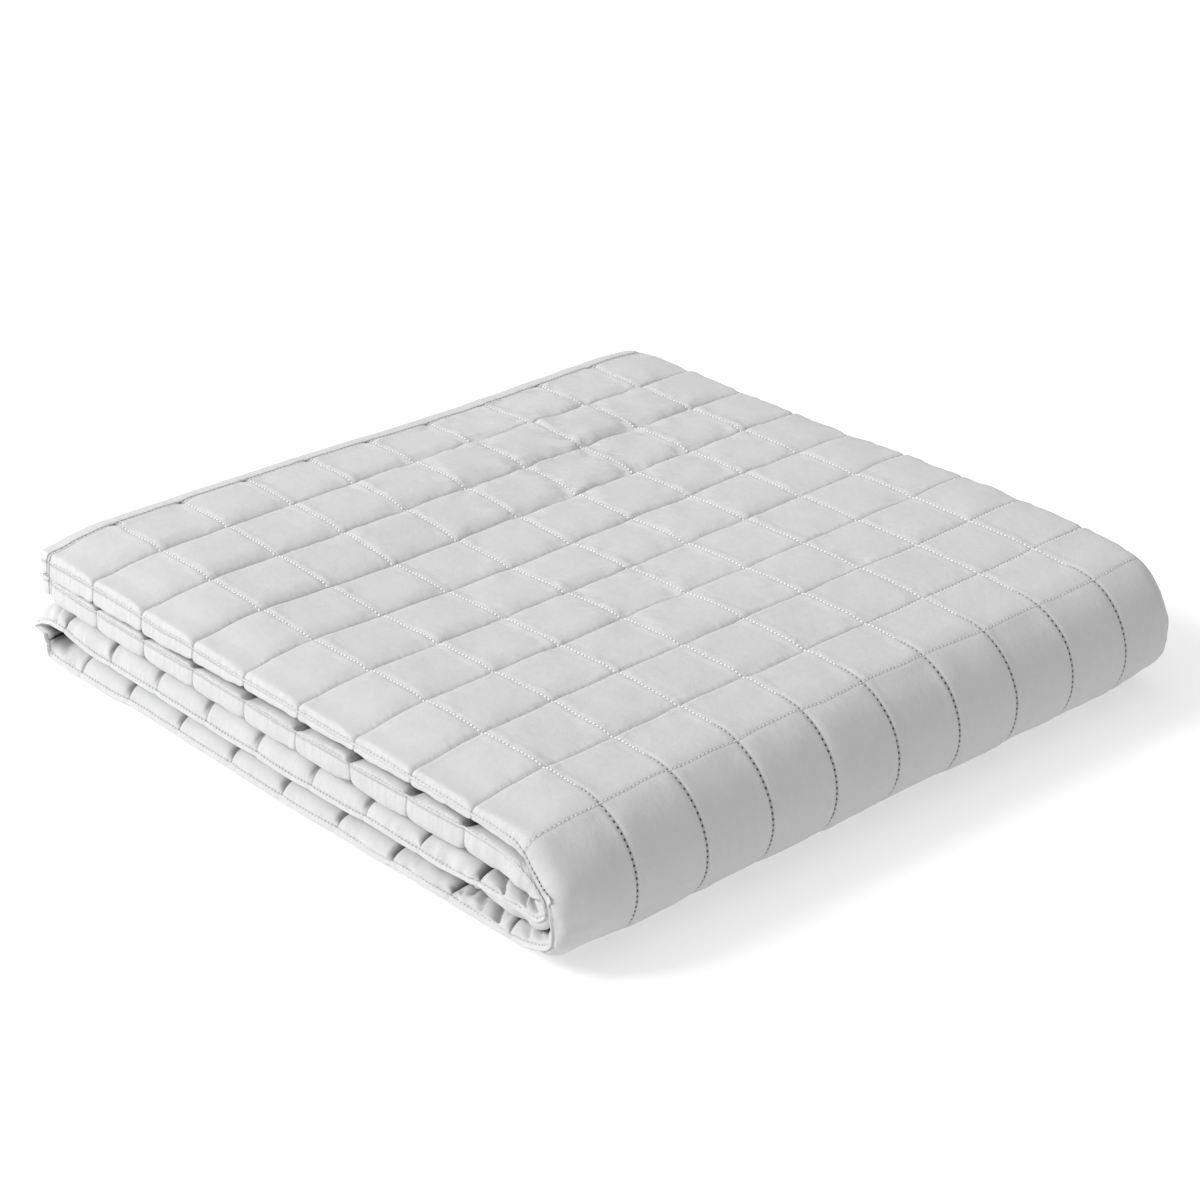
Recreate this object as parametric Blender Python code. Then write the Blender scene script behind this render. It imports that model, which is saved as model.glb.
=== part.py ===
"""Quilted weighted blanket, folded in half twice, lying flat.

One long padded strip, sewn into square cells. Seen from its open side it runs
from a hemmed end at -X along the top, round the big fold at +X, back along the
bottom, round the small fold at -X, forward, round the fold that nests inside
the big one at +X, and back to the other hemmed end at -X: four plies. Over the
big fold two squares of each row are one, with no seam between them.

Metres, +Z up. X runs along the strip, Y across it. The origin is the middle of
the bounding box's bottom, so the blanket lies on Z = 0.
"""

import math

import bmesh
import bpy

# ---------------------------------------------------------------- driving sizes
CELL = 0.0508            # one quilted square, seam to seam, across the strip
ALONG = 0.99             # seam spacing along the strip, as a share of CELL
CELLS_LONG = 39          # squares along the strip
CELLS_WIDE = 10          # squares across the strip
DOUBLE_SQUARE = 9        # over the big fold this square and the next are one

# The sizes below are shares of CELL.
CROWN = 0.205            # half the thickness in the middle of a square
SEAM = 0.05              # half the thickness on a quilting seam
HEM = 0.035              # half the thickness along the stitched side edge
LIP = 0.08               # side hem outside its stitching
FLANGE = 0.30            # flat hem outside the last seam at each end
FLANGE_HALF = 0.055      # half the thickness of that flat hem
DROOP_RADIUS = 0.45      # the flat hem bends down on this radius
SHOULDER = 0.22          # how far in from a seam a square reaches its crown
PINCHED_CROWN = 0.10     # crown left on the inner face of a tight fold

RIGHT_OUTER_X = 8.75     # centre of the big fold
RIGHT_INNER_X = 8.72     # centre of the fold nested in it
LEFT_X = -0.11           # centre of the fold under the hemmed ends
MIDDLE_X = 4.5705        # this X becomes 0

# Each ply: height of its middle over the floor, and how far its hemmed side
# edges hang below that height.
PLIES = {
    "top": {"z": 1.520, "edge_drop": 0.11},
    "second": {"z": 1.080, "edge_drop": 0.01},
    "third": {"z": 0.645, "edge_drop": 0.20},
    "bottom": {"z": 0.205, "edge_drop": 0.13},
}
EDGE_REACH = 0.36        # the hanging of the edges dies out this far in
STACK = 1.73             # height of the whole stack

# Soft swells and hollows of the upper surface: place, reach and height.
SWELLS = (
    {"x": 1.0, "y": 5.0, "reach_x": 1.3, "reach_y": 3.2, "height": 0.05},
    {"x": 3.6, "y": 3.5, "reach_x": 1.6, "reach_y": 2.4, "height": -0.08},
    {"x": 7.2, "y": 5.5, "reach_x": 1.5, "reach_y": 5.0, "height": 0.07},
    {"x": 5.4, "y": 8.0, "reach_x": 1.8, "reach_y": 1.8, "height": 0.03},
)
# The big fold stands out a little further towards the far side.
FOLD_LEAN = {"from_y": 3.0, "to_y": 9.0, "amount": 0.06}
# Its weight makes the big fold bulge low: each height above the middle of the
# fold leans back, and each height below it stands forward.
FOLD_SAG = {"from_x": 8.2, "to_x": 9.0, "slope": 0.10}

FABRIC = {"colour": (0.66, 0.66, 0.665, 1.0), "roughness": 0.78, "metallic": 0.0}


# ---------------------------------------------------------------- the section
def section():
    """The runs of the strip's middle line in (x, z), start to end: straight
    plies and half-circle folds, each with its length."""
    top, second = PLIES["top"]["z"], PLIES["second"]["z"]
    third, bottom = PLIES["third"]["z"], PLIES["bottom"]["z"]
    runs = [
        {"kind": "line", "x": 0.0, "z": top, "to_x": RIGHT_OUTER_X},
        {"kind": "fold", "x": RIGHT_OUTER_X, "z": (top + bottom) / 2, "r": (top - bottom) / 2, "start": 90.0, "turn": -180.0},
        {"kind": "line", "x": RIGHT_OUTER_X, "z": bottom, "to_x": LEFT_X},
        {"kind": "fold", "x": LEFT_X, "z": (third + bottom) / 2, "r": (third - bottom) / 2, "start": -90.0, "turn": -180.0},
        {"kind": "line", "x": LEFT_X, "z": third, "to_x": RIGHT_INNER_X},
        {"kind": "fold", "x": RIGHT_INNER_X, "z": (second + third) / 2, "r": (second - third) / 2, "start": -90.0, "turn": 180.0},
    ]
    used = 0.0
    for run in runs:
        if run["kind"] == "line":
            run["length"] = abs(run["to_x"] - run["x"])
        else:
            run["length"] = math.radians(abs(run["turn"])) * run["r"]
        used += run["length"]
    rest = CELLS_LONG * ALONG - used
    runs.append({"kind": "line", "x": RIGHT_INNER_X, "z": second, "to_x": RIGHT_INNER_X - rest, "length": rest})
    return runs


RUNS = section()
LENGTH = CELLS_LONG * ALONG


def on_path(s):
    """Point (x, z) of the middle line and its unit normal at length s. The
    normal points to the face that shows on top of the folded stack. Past
    either end the flat hem bends down."""
    if s < 0.0 or s > LENGTH:
        out = -s if s < 0.0 else s - LENGTH
        run = RUNS[0] if s < 0.0 else RUNS[-1]
        end_x = run["x"] if s < 0.0 else run["to_x"]
        bend = out / DROOP_RADIUS
        x = end_x - DROOP_RADIUS * math.sin(bend)
        z = run["z"] - DROOP_RADIUS * (1.0 - math.cos(bend))
        up = 1.0 if s < 0.0 else -1.0
        return x, z, -math.sin(bend) * up, math.cos(bend) * up
    for run in RUNS:
        if s <= run["length"] or run is RUNS[-1]:
            break
        s -= run["length"]
    if run["kind"] == "line":
        way = 1.0 if run["to_x"] > run["x"] else -1.0
        return run["x"] + way * s, run["z"], 0.0, way
    angle = math.radians(run["start"] + run["turn"] * s / run["length"])
    x = run["x"] + run["r"] * math.cos(angle)
    z = run["z"] + run["r"] * math.sin(angle)
    out = 1.0 if run["turn"] < 0.0 else -1.0
    return x, z, out * math.cos(angle), out * math.sin(angle)


def edge_drop(s):
    """How far the side edges hang at length s: each ply's own amount, shared
    out evenly round the folds."""
    names = ("top", "bottom", "third", "second")
    run_start, line = 0.0, 0
    for run in RUNS:
        if s <= run_start + run["length"] or run is RUNS[-1]:
            break
        run_start += run["length"]
        line += run["kind"] == "line"
    if run["kind"] == "line":
        return PLIES[names[min(line, 3)]]["edge_drop"]
    share = (s - run_start) / run["length"]
    before = PLIES[names[line - 1]]["edge_drop"]
    after = PLIES[names[line]]["edge_drop"]
    return before + (after - before) * share


def inner_crown(s, side):
    """Half thickness in the middle of a square. It is less on the inner face
    of the two tight folds."""
    squeezed = CROWN
    start = 0.0
    for run in RUNS:
        if run["kind"] == "fold" and run["r"] < 0.4:
            inside = -1.0 if run["turn"] < 0.0 else 1.0
            if inside == side:
                away = max(start - s, s - start - run["length"], 0.0)
                share = min(1.0, away / 0.35)
                squeezed = min(squeezed, PINCHED_CROWN + (CROWN - PINCHED_CROWN) * share)
        start += run["length"]
    return squeezed


def smooth(t):
    t = min(1.0, max(0.0, t))
    return t * t * (3.0 - 2.0 * t)


def settle(x, y, z):
    """The uneven lie of the whole stack: swells above, flat on the floor."""
    lift = 0.0
    for swell in SWELLS:
        far = ((x - swell["x"]) / swell["reach_x"]) ** 2 + ((y - swell["y"]) / swell["reach_y"]) ** 2
        lift += swell["height"] * math.exp(-far)
    lean = FOLD_LEAN["amount"] * smooth((y - FOLD_LEAN["from_y"]) / (FOLD_LEAN["to_y"] - FOLD_LEAN["from_y"]))
    middle = (PLIES["top"]["z"] + PLIES["bottom"]["z"]) / 2
    sag = smooth((x - FOLD_SAG["from_x"]) / (FOLD_SAG["to_x"] - FOLD_SAG["from_x"])) * FOLD_SAG["slope"]
    shift = lean * smooth((x - 7.5) / 1.5) - sag * (z - middle)
    return x + shift, y, max(0.0, z * (1.0 + lift / STACK))


def place(side, u, v, half):
    """The point of one face (side 1 shows on top, side -1 is the other) at
    seam counts u along and v across, at half thickness `half`."""
    s = u if u < 0.0 else u * ALONG
    if u > CELLS_LONG:
        s = LENGTH + (u - CELLS_LONG)
    x, z, nx, nz = on_path(s)
    near = min(v, CELLS_WIDE - v)
    hang = (1.0 - min(1.0, max(0.0, near) / EDGE_REACH)) ** 2
    z -= edge_drop(min(max(s, 0.0), LENGTH)) * hang
    x, y, z = settle(x + side * half * nx, v, z + side * half * nz)
    return ((x - MIDDLE_X) * CELL, (y - CELLS_WIDE / 2) * CELL, z * CELL)


# ---------------------------------------------------------------- the rows
def bent_rows():
    """For each square that a fold passes through, the shares of its length
    at which it gets a row of points."""
    rows, start = {}, 0.0
    for run in RUNS:
        if run["kind"] == "fold":
            steps = max(6, round(run["length"] / 0.26))
            stations = [start + run["length"] * k / steps for k in range(steps + 1)]
            for s in stations:
                u = s / ALONG
                rows.setdefault(int(u), set()).add(u - int(u))
        start += run["length"]
    for cell, shares in rows.items():
        kept = []
        for share in sorted(shares | {SHOULDER, 1.0 - SHOULDER}):
            if 0.07 <= share <= 0.93 and (not kept or share - kept[-1] > 0.07):
                kept.append(share)
        rows[cell] = kept
    return rows


BENT = bent_rows()


def ramp(i, share):
    """How far up to its crown square i is at this share of its length. There
    is no seam in the middle of the double square."""
    start = 1.0 if i == DOUBLE_SQUARE + 1 else share / SHOULDER
    end = 1.0 if i == DOUBLE_SQUARE else (1.0 - share) / SHOULDER
    return min(1.0, start, end)


# ---------------------------------------------------------------- the mesh
class Quilt:
    def __init__(self):
        self.bm = bmesh.new()
        self.points = {}

    def point(self, side, u, v, half):
        key = (side, round(u, 5), round(v, 5))
        if key not in self.points:
            self.points[key] = self.bm.verts.new(place(side, u, v, half))
        return self.points[key]

    def face(self, side, corners):
        """Corners run anticlockwise seen from the top face."""
        if side < 0:
            corners = corners[::-1]
        self.bm.faces.new(corners)

    def seam_point(self, side, u, v):
        at_side = v <= 0.0 or v >= CELLS_WIDE
        return self.point(side, u, v, HEM if at_side else SEAM)

    def crown_point(self, side, i, j, a, b):
        u, v = i + a, j + b
        crown = inner_crown(u * ALONG, side)
        return self.point(side, u, v, SEAM + (crown - SEAM) * ramp(i, a))

    def flat_square(self, side, i, j, plain):
        """A square on a straight ply: a frame of four sloping faces round a
        flat crown, or just four slopes where it is hidden between plies."""
        c = [self.seam_point(side, i, j), self.seam_point(side, i + 1, j),
             self.seam_point(side, i + 1, j + 1), self.seam_point(side, i, j + 1)]
        if plain:
            top = self.point(side, i + 0.5, j + 0.5, CROWN)
            for k in range(4):
                self.face(side, [c[k], c[(k + 1) % 4], top])
            return
        low, high = SHOULDER, 1.0 - SHOULDER
        r = [self.crown_point(side, i, j, a, b) for a, b in ((low, low), (high, low), (high, high), (low, high))]
        for k in range(4):
            self.face(side, [c[k], c[(k + 1) % 4], r[(k + 1) % 4], r[k]])
        self.face(side, r)

    def bent_row(self, side, i, j, a):
        return [
            self.seam_point(side, i + a, j),
            self.crown_point(side, i, j, a, SHOULDER),
            self.crown_point(side, i, j, a, 1.0 - SHOULDER),
            self.seam_point(side, i + a, j + 1),
        ]

    def bent_square(self, side, i, j):
        """A square that a fold passes through: rows of four points between
        its two cross seams. The halves of the double square share a row."""
        rows = [self.bent_row(side, i, j, a) for a in BENT[i]]
        if i == DOUBLE_SQUARE:
            rows.append(self.bent_row(side, i, j, 1.0))
        else:
            last = (self.seam_point(side, i + 1, j), self.seam_point(side, i + 1, j + 1))
            p = rows[-1]
            self.face(side, [p[0], last[0], p[1]])
            self.face(side, [p[1], last[0], last[1], p[2]])
            self.face(side, [p[2], last[1], p[3]])
        if i == DOUBLE_SQUARE + 1:
            rows.insert(0, self.bent_row(side, i, j, 0.0))
        else:
            first = (self.seam_point(side, i, j), self.seam_point(side, i, j + 1))
            p = rows[0]
            self.face(side, [first[0], p[0], p[1]])
            self.face(side, [first[0], p[1], p[2], first[1]])
            self.face(side, [first[1], p[2], p[3]])
        for p, q in zip(rows, rows[1:]):
            for k in range(3):
                self.face(side, [p[k], q[k], q[k + 1], p[k + 1]])

    def hem_point(self, side, u, v):
        if u < 0.0 or u > CELLS_LONG:
            return self.point(side, u, v, FLANGE_HALF)
        return self.point(side, u, v, HEM)

    def side_hems(self):
        stations = []
        for i in range(CELLS_LONG):
            stations.append(float(i))
            stations += [i + a for a in BENT.get(i, [])]
        stations.append(float(CELLS_LONG))
        low, high = -LIP, CELLS_WIDE + LIP
        for u0, u1 in zip(stations, stations[1:]):
            for side in (1, -1):
                a0, a1 = self.hem_point(side, u0, low), self.hem_point(side, u1, low)
                self.face(side, [a0, a1, self.seam_point(side, u1, 0), self.seam_point(side, u0, 0)])
                b0, b1 = self.hem_point(side, u0, high), self.hem_point(side, u1, high)
                self.face(side, [self.seam_point(side, u0, CELLS_WIDE), self.seam_point(side, u1, CELLS_WIDE), b1, b0])
            for v, flip in ((low, False), (high, True)):
                ring = [self.hem_point(-1, u0, v), self.hem_point(-1, u1, v),
                        self.hem_point(1, u1, v), self.hem_point(1, u0, v)]
                self.bm.faces.new(ring[::-1] if flip else ring)

    def end_hems(self):
        """The flat hem outside the last seam at each end, in three rows."""
        across = [-LIP] + [float(j) for j in range(CELLS_WIDE + 1)] + [CELLS_WIDE + LIP]
        ends = (
            {"rows": [0.0, -FLANGE * 0.5, -FLANGE], "start": True},
            {"rows": [float(CELLS_LONG), CELLS_LONG + FLANGE * 0.5, CELLS_LONG + FLANGE], "start": False},
        )
        for end in ends:
            def at(side, u, v):
                if u in (0.0, float(CELLS_LONG)):
                    if v < 0.0 or v > CELLS_WIDE:
                        return self.hem_point(side, u, v)
                    return self.seam_point(side, u, v)
                return self.hem_point(side, u, v)

            for u0, u1 in zip(end["rows"], end["rows"][1:]):
                for v0, v1 in zip(across, across[1:]):
                    for side in (1, -1):
                        ring = [at(side, u0, v0), at(side, u1, v0), at(side, u1, v1), at(side, u0, v1)]
                        self.face(side, ring[::-1] if end["start"] else ring)
                for v, flip in ((across[0], False), (across[-1], True)):
                    ring = [at(-1, u0, v), at(-1, u1, v), at(1, u1, v), at(1, u0, v)]
                    turned = flip != end["start"]
                    self.bm.faces.new(ring[::-1] if turned else ring)
            edge = end["rows"][-1]
            for v0, v1 in zip(across, across[1:]):
                ring = [at(-1, edge, v0), at(1, edge, v0), at(1, edge, v1), at(-1, edge, v1)]
                self.bm.faces.new(ring if end["start"] else ring[::-1])

    def build(self):
        outside = range(0, 20)      # squares whose top face shows from outside
        for side in (1, -1):
            for i in range(CELLS_LONG):
                for j in range(CELLS_WIDE):
                    if i in BENT:
                        self.bent_square(side, i, j)
                    else:
                        shows = side > 0 and i in outside
                        rim = j in (0, CELLS_WIDE - 1)
                        self.flat_square(side, i, j, plain=not (shows or rim))
        self.side_hems()
        self.end_hems()
        self.bm.verts.index_update()
        return self.bm


def fabric():
    material = bpy.data.materials.new("quilted_cotton")
    material.use_nodes = True
    shader = material.node_tree.nodes["Principled BSDF"]
    shader.inputs["Base Color"].default_value = FABRIC["colour"]
    shader.inputs["Roughness"].default_value = FABRIC["roughness"]
    shader.inputs["Metallic"].default_value = FABRIC["metallic"]
    material.diffuse_color = FABRIC["colour"]
    return material


def main():
    for thing in list(bpy.data.objects):
        bpy.data.objects.remove(thing, do_unlink=True)
    bm = Quilt().build()
    mesh = bpy.data.meshes.new("blanket")
    bm.to_mesh(mesh)
    bm.free()
    mesh.shade_smooth()
    mesh.set_sharp_from_angle(angle=math.radians(50.0))
    blanket = bpy.data.objects.new("blanket", mesh)
    blanket.data.materials.append(fabric())
    bpy.context.scene.collection.objects.link(blanket)


main()
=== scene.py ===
"""A quilted weighted blanket, folded in half twice, on a pale studio floor.

The blanket is one long padded strip sewn in squares. Its shape is worked out
on the flat strip, as u seams along it and v seams across it, and then carried
round the folds. Lengths in the shape code are in squares (CELL metres).
"""

import math
import time

import bpy
import numpy as np
from mathutils import Matrix, Vector


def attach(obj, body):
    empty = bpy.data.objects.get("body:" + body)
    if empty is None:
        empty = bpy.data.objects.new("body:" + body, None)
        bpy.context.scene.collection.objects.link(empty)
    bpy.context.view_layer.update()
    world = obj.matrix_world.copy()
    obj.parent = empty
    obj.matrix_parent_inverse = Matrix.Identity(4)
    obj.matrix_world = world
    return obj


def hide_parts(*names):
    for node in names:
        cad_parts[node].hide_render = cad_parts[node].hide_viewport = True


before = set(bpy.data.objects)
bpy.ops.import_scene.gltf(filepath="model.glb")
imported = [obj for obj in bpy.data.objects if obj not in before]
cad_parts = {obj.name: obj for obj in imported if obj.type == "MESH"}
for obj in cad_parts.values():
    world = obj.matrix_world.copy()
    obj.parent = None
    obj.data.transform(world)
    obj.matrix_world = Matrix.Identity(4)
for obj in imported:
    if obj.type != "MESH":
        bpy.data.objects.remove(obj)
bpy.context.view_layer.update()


# ------------------------------------------------------------------ sizes
CELL = 0.0508          # one quilted square
ALONG = 0.99           # seam spacing along the strip
LONG, WIDE = 39, 10    # squares along and across
CROWN, SEAM = 0.205, 0.040
HEM_HALF, LIP = 0.032, 0.075
FLANGE = 0.40
CORNER = 0.26
DOUBLE_ROW = 0.055     # the end hem's second row of stitches
DROOP_RADIUS = 1.15
RIGHT_OUTER_X, RIGHT_INNER_X, LEFT_X, MIDDLE_X = 8.75, 8.72, -0.11, 4.5705
PLY_Z = {"top": 1.520, "second": 1.080, "third": 0.645, "bottom": 0.205}
STACK = 1.73
FLOOR_GAP = 0.0002 / CELL
CLOTH_COLOUR = (0.565, 0.565, 0.568)
# one white cotton thread, in painted light and shade: lit on top, shaded round the big fold, which faces away from the
# light, and between the two on the side hems
THREAD_LIT_AND_SHADED_TONES = {"top": 0.80, "fold": 0.46, "hem": 0.60}
STITCH = 1.0 / 17.0    # 3 mm stitches

SWELLS = (
    {"x": 1.0, "y": 5.0, "reach_x": 1.3, "reach_y": 3.2, "height": 0.05},
    {"x": 3.6, "y": 3.5, "reach_x": 1.6, "reach_y": 2.4, "height": -0.08},
    {"x": 7.2, "y": 5.5, "reach_x": 1.5, "reach_y": 5.0, "height": 0.07},
    {"x": 5.4, "y": 8.0, "reach_x": 1.8, "reach_y": 1.8, "height": 0.03},
    {"x": 6.4, "y": 10.0, "reach_x": 2.4, "reach_y": 1.3, "height": 0.085},
    {"x": 0.0, "y": 6.4, "reach_x": 0.8, "reach_y": 2.0, "height": -0.075},
)
FOLD_LEAN = {"from_y": 3.0, "to_y": 9.0, "amount": 0.06}
FOLD_SAG = {"from_x": 8.2, "to_x": 9.0, "slope": 0.10}

# Where each cross seam lies along the strip, against even spacing: column u is
# the seam's number, column shift how far on it lies.
SEAM_DRIFT = {
    "u": (0, 1, 2, 3, 4, 5, 6, 7, 8, 9, 11, 12, 13, 14, 15, 16, 17, 18, 19, 20, 21, 22, 24, 26, 28, 29, 30, 31, 32, 33, 35, 36, 39),
    "shift": (0.0, -0.03, 0.02, 0.05, 0.07, 0.10, 0.11, 0.10, 0.12, 0.05, 0.08, 0.06, 0.10, 0.12, 0.16, 0.18, 0.22, 0.28, 0.25, 0.05,
              -0.16, -0.15, -0.14, -0.12, -0.10, -0.15, -0.04, 0.08, -0.02, 0.0, -0.06, -0.02, 0.0),
}
LONG_CELL = 10         # this cross seam is left out: one double square rounds the fold
# The tables below are read at q, the length along the strip in even squares.
# Crown (half thickness) of the squares along each face of the strip.
CROWNS_UPPER = {      # the face that shows on top and round the big fold
    "q": (0, 2.0, 8.2, 9.2, 11.0, 11.7, 19.4, 19.9, 20.6, 21.2, 29.2, 29.6, 30.1, 30.6, 39),
    "half": (0.145, 0.150, 0.135, 0.135, 0.150, 0.225, 0.225, 0.19, 0.17, 0.195, 0.195, 0.09, 0.09, 0.195, 0.195),
}
CROWNS_LOWER = {
    "q": (0, 8.5, 9.2, 10.6, 11.3, 19.5, 20.0, 20.5, 21.0, 29.0, 29.5, 30.2, 30.7, 39),
    "half": (0.195, 0.195, 0.150, 0.150, 0.195, 0.195, 0.07, 0.07, 0.195, 0.195, 0.18, 0.18, 0.195, 0.195),
}
# Each ply's stitched side edge. Column reach: how far in the ply hangs down to
# its hem. Columns lip and half: its lip past the stitches. Columns above and
# below: crown of the edge squares on the face that looks up and on the one
# that looks down; rise and drop: how far in they reach it. Columns pinch and
# nip: how much the cross seams draw those two faces in. Column wall: how
# upright the edge stands.
EDGE_SET = {
    "q": (0.0, 2.2, 3.2, 4.2, 6.5, 8.3, 9.0, 9.7, 10.7, 11.4, 19.6, 20.6, 27.6, 28.6, 29.5, 30.4, 31.5, 34.5, 36.5, 39.0),
    "reach": (0.36, 0.36, 0.36, 0.36, 0.36, 0.36, 0.30, 0.28, 0.28, 0.36, 0.40, 0.22, 0.22, 0.22, 0.24, 0.36, 0.36, 0.36, 0.36, 0.36),
    "lip": (0.003, 0.003, 0.003, 0.006, 0.010, 0.010, 0.012, 0.016, 0.030, 0.036, 0.036, 0.031, 0.031, 0.031, 0.026, 0.010, 0.006, 0.003, 0.003, 0.003),
    "half": (0.010, 0.010, 0.010, 0.012, 0.014, 0.014, 0.016, 0.020, 0.021, 0.020, 0.020, 0.014, 0.014, 0.014, 0.015, 0.014, 0.012, 0.010, 0.010, 0.010),
    "above": (0.115, 0.115, 0.115, 0.115, 0.115, 0.120, 0.150, 0.170, 0.200, 0.225, 0.225, 0.235, 0.240, 0.285, 0.280, 0.240, 0.235, 0.175, 0.110, 0.120),
    "rise": (0.12, 0.12, 0.12, 0.12, 0.12, 0.12, 0.18, 0.25, 0.30, 0.34, 0.34, 0.30, 0.30, 0.32, 0.30, 0.26, 0.25, 0.22, 0.14, 0.12),
    "power": (2.0, 2.0, 2.0, 2.0, 2.0, 2.0, 2.2, 1.8, 1.7, 1.6, 1.6, 1.6, 1.6, 1.6, 1.6, 1.8, 1.8, 1.8, 2.0, 2.0),
    "below": (0.25, 0.215, 0.160, 0.100, 0.085, 0.060, 0.080, 0.110, 0.130, 0.170, 0.200, 0.195, 0.195, 0.195, 0.195, 0.215, 0.235, 0.225, 0.200, 0.190),
    "drop": (0.09, 0.09, 0.09, 0.09, 0.09, 0.10, 0.14, 0.20, 0.25, 0.25, 0.25, 0.25, 0.25, 0.25, 0.25, 0.14, 0.10, 0.09, 0.09, 0.09),
    "pinch": (0.90, 0.90, 0.90, 0.90, 0.90, 0.80, 0.30, 0.30, 0.60, 1.0, 1.0, 1.0, 1.0, 1.0, 1.0, 0.60, 1.0, 1.0, 0.80, 0.60),
    "nip": (0.14, 0.14, 0.16, 0.20, 0.25, 0.25, 0.30, 0.50, 1.0, 1.0, 1.0, 1.0, 1.0, 1.0, 1.0, 0.40, 0.26, 0.24, 0.22, 0.20),
    "wall": (1.0, 1.0, 1.0, 1.0, 0.95, 0.90, 0.80, 0.75, 0.75, 0.75, 0.75, 0.75, 0.75, 0.75, 0.75, 0.75, 0.80, 0.85, 1.0, 1.0),
}
EDGE_ROUND = 0.25
# The line of stitches along the side edge, by length s along the strip: how
# far it lies past the ply's own middle line (dx), its height over the floor
# (z) and how far in it is set (inset).
HEM_LINE = (
    {"s": 0.00, "dx": 0.000, "z": 1.445, "inset": 0.00},
    {"s": 8.40, "dx": 0.000, "z": 1.450, "inset": 0.00},
    {"s": 8.80, "dx": 0.000, "z": 1.430, "inset": 0.00},
    {"s": 8.97, "dx": -0.016, "z": 1.340, "inset": 0.00},
    {"s": 9.15, "dx": -0.075, "z": 1.190, "inset": 0.00},
    {"s": 9.35, "dx": -0.110, "z": 1.080, "inset": -0.01},
    {"s": 9.52, "dx": -0.105, "z": 1.015, "inset": -0.02},
    {"s": 9.70, "dx": -0.120, "z": 0.900, "inset": 0.00},
    {"s": 9.90, "dx": -0.110, "z": 0.760, "inset": 0.00},
    {"s": 10.08, "dx": -0.040, "z": 0.620, "inset": 0.00},
    {"s": 10.25, "dx": 0.035, "z": 0.500, "inset": 0.00},
    {"s": 10.42, "dx": 0.080, "z": 0.410, "inset": 0.01},
    {"s": 10.60, "dx": 0.090, "z": 0.340, "inset": 0.01},
    {"s": 10.80, "dx": 0.070, "z": 0.285, "inset": 0.02},
    {"s": 11.00, "dx": 0.040, "z": 0.255, "inset": 0.03},
    {"s": 11.40, "dx": 0.000, "z": 0.235, "inset": 0.04},
    {"s": 12.20, "dx": 0.000, "z": 0.215, "inset": 0.05},
    {"s": 12.90, "dx": 0.000, "z": 0.175, "inset": 0.06},
    {"s": 13.90, "dx": 0.000, "z": 0.130, "inset": 0.07},
    {"s": 15.00, "dx": 0.000, "z": 0.100, "inset": 0.07},
    {"s": 17.80, "dx": 0.000, "z": 0.080, "inset": 0.08},
    {"s": 19.20, "dx": 0.000, "z": 0.070, "inset": 0.02},
    {"s": 19.68, "dx": -0.010, "z": 0.110, "inset": 0.00},
    {"s": 19.85, "dx": 0.090, "z": 0.270, "inset": 0.00},
    {"s": 19.98, "dx": 0.120, "z": 0.390, "inset": 0.00},
    {"s": 20.09, "dx": -0.020, "z": 0.470, "inset": 0.00},
    {"s": 20.22, "dx": 0.010, "z": 0.550, "inset": 0.00},
    {"s": 20.37, "dx": 0.050, "z": 0.600, "inset": 0.00},
    {"s": 20.60, "dx": 0.080, "z": 0.595, "inset": 0.00},
    {"s": 20.80, "dx": 0.090, "z": 0.540, "inset": 0.02},
    {"s": 21.40, "dx": 0.000, "z": 0.485, "inset": 0.04},
    {"s": 22.40, "dx": 0.000, "z": 0.475, "inset": 0.05},
    {"s": 23.80, "dx": 0.000, "z": 0.485, "inset": 0.06},
    {"s": 25.40, "dx": 0.000, "z": 0.490, "inset": 0.05},
    {"s": 26.40, "dx": 0.000, "z": 0.540, "inset": 0.05},
    {"s": 27.40, "dx": 0.000, "z": 0.570, "inset": 0.04},
    {"s": 28.00, "dx": 0.000, "z": 0.580, "inset": 0.03},
    {"s": 28.60, "dx": 0.040, "z": 0.640, "inset": 0.02},
    {"s": 28.95, "dx": 0.120, "z": 0.665, "inset": 0.01},
    {"s": 29.35, "dx": 0.230, "z": 0.670, "inset": 0.00},
    {"s": 29.52, "dx": 0.280, "z": 0.780, "inset": 0.00},
    {"s": 29.65, "dx": 0.260, "z": 0.930, "inset": 0.00},
    {"s": 29.87, "dx": 0.260, "z": 1.100, "inset": 0.00},
    {"s": 30.04, "dx": 0.240, "z": 1.190, "inset": 0.00},
    {"s": 30.25, "dx": 0.200, "z": 1.235, "inset": 0.01},
    {"s": 30.45, "dx": 0.150, "z": 1.245, "inset": 0.01},
    {"s": 30.75, "dx": 0.080, "z": 1.225, "inset": 0.01},
    {"s": 31.40, "dx": 0.000, "z": 1.175, "inset": 0.01},
    {"s": 33.00, "dx": 0.000, "z": 1.165, "inset": 0.00},
    {"s": 35.60, "dx": 0.000, "z": 1.165, "inset": 0.00},
    {"s": 36.60, "dx": 0.000, "z": 1.125, "inset": 0.00},
    {"s": 37.80, "dx": 0.000, "z": 1.120, "inset": 0.00},
    {"s": 38.61, "dx": 0.000, "z": 1.150, "inset": 0.00},
)
# A corner of the outer fold's lip sticks out, and one of the inner fold's.
LIP_POINTS = (
    {"s": 9.50, "width": 0.070, "out": 0.11, "up": 0.015},
    {"s": 20.10, "width": 0.060, "out": -0.05, "up": -0.02},
)


def hem_line(s, v, column):
    """The near edge's line; the far edge's is the same, but evened out."""
    at, value = [row["s"] for row in HEM_LINE], [row[column] for row in HEM_LINE]
    near = np.interp(s, at, value)
    even = sum(np.interp(s + d, at, value) for d in (-0.3, -0.15, 0.0, 0.15, 0.3)) / 5.0
    return np.where(v > WIDE / 2, even, near)


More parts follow.
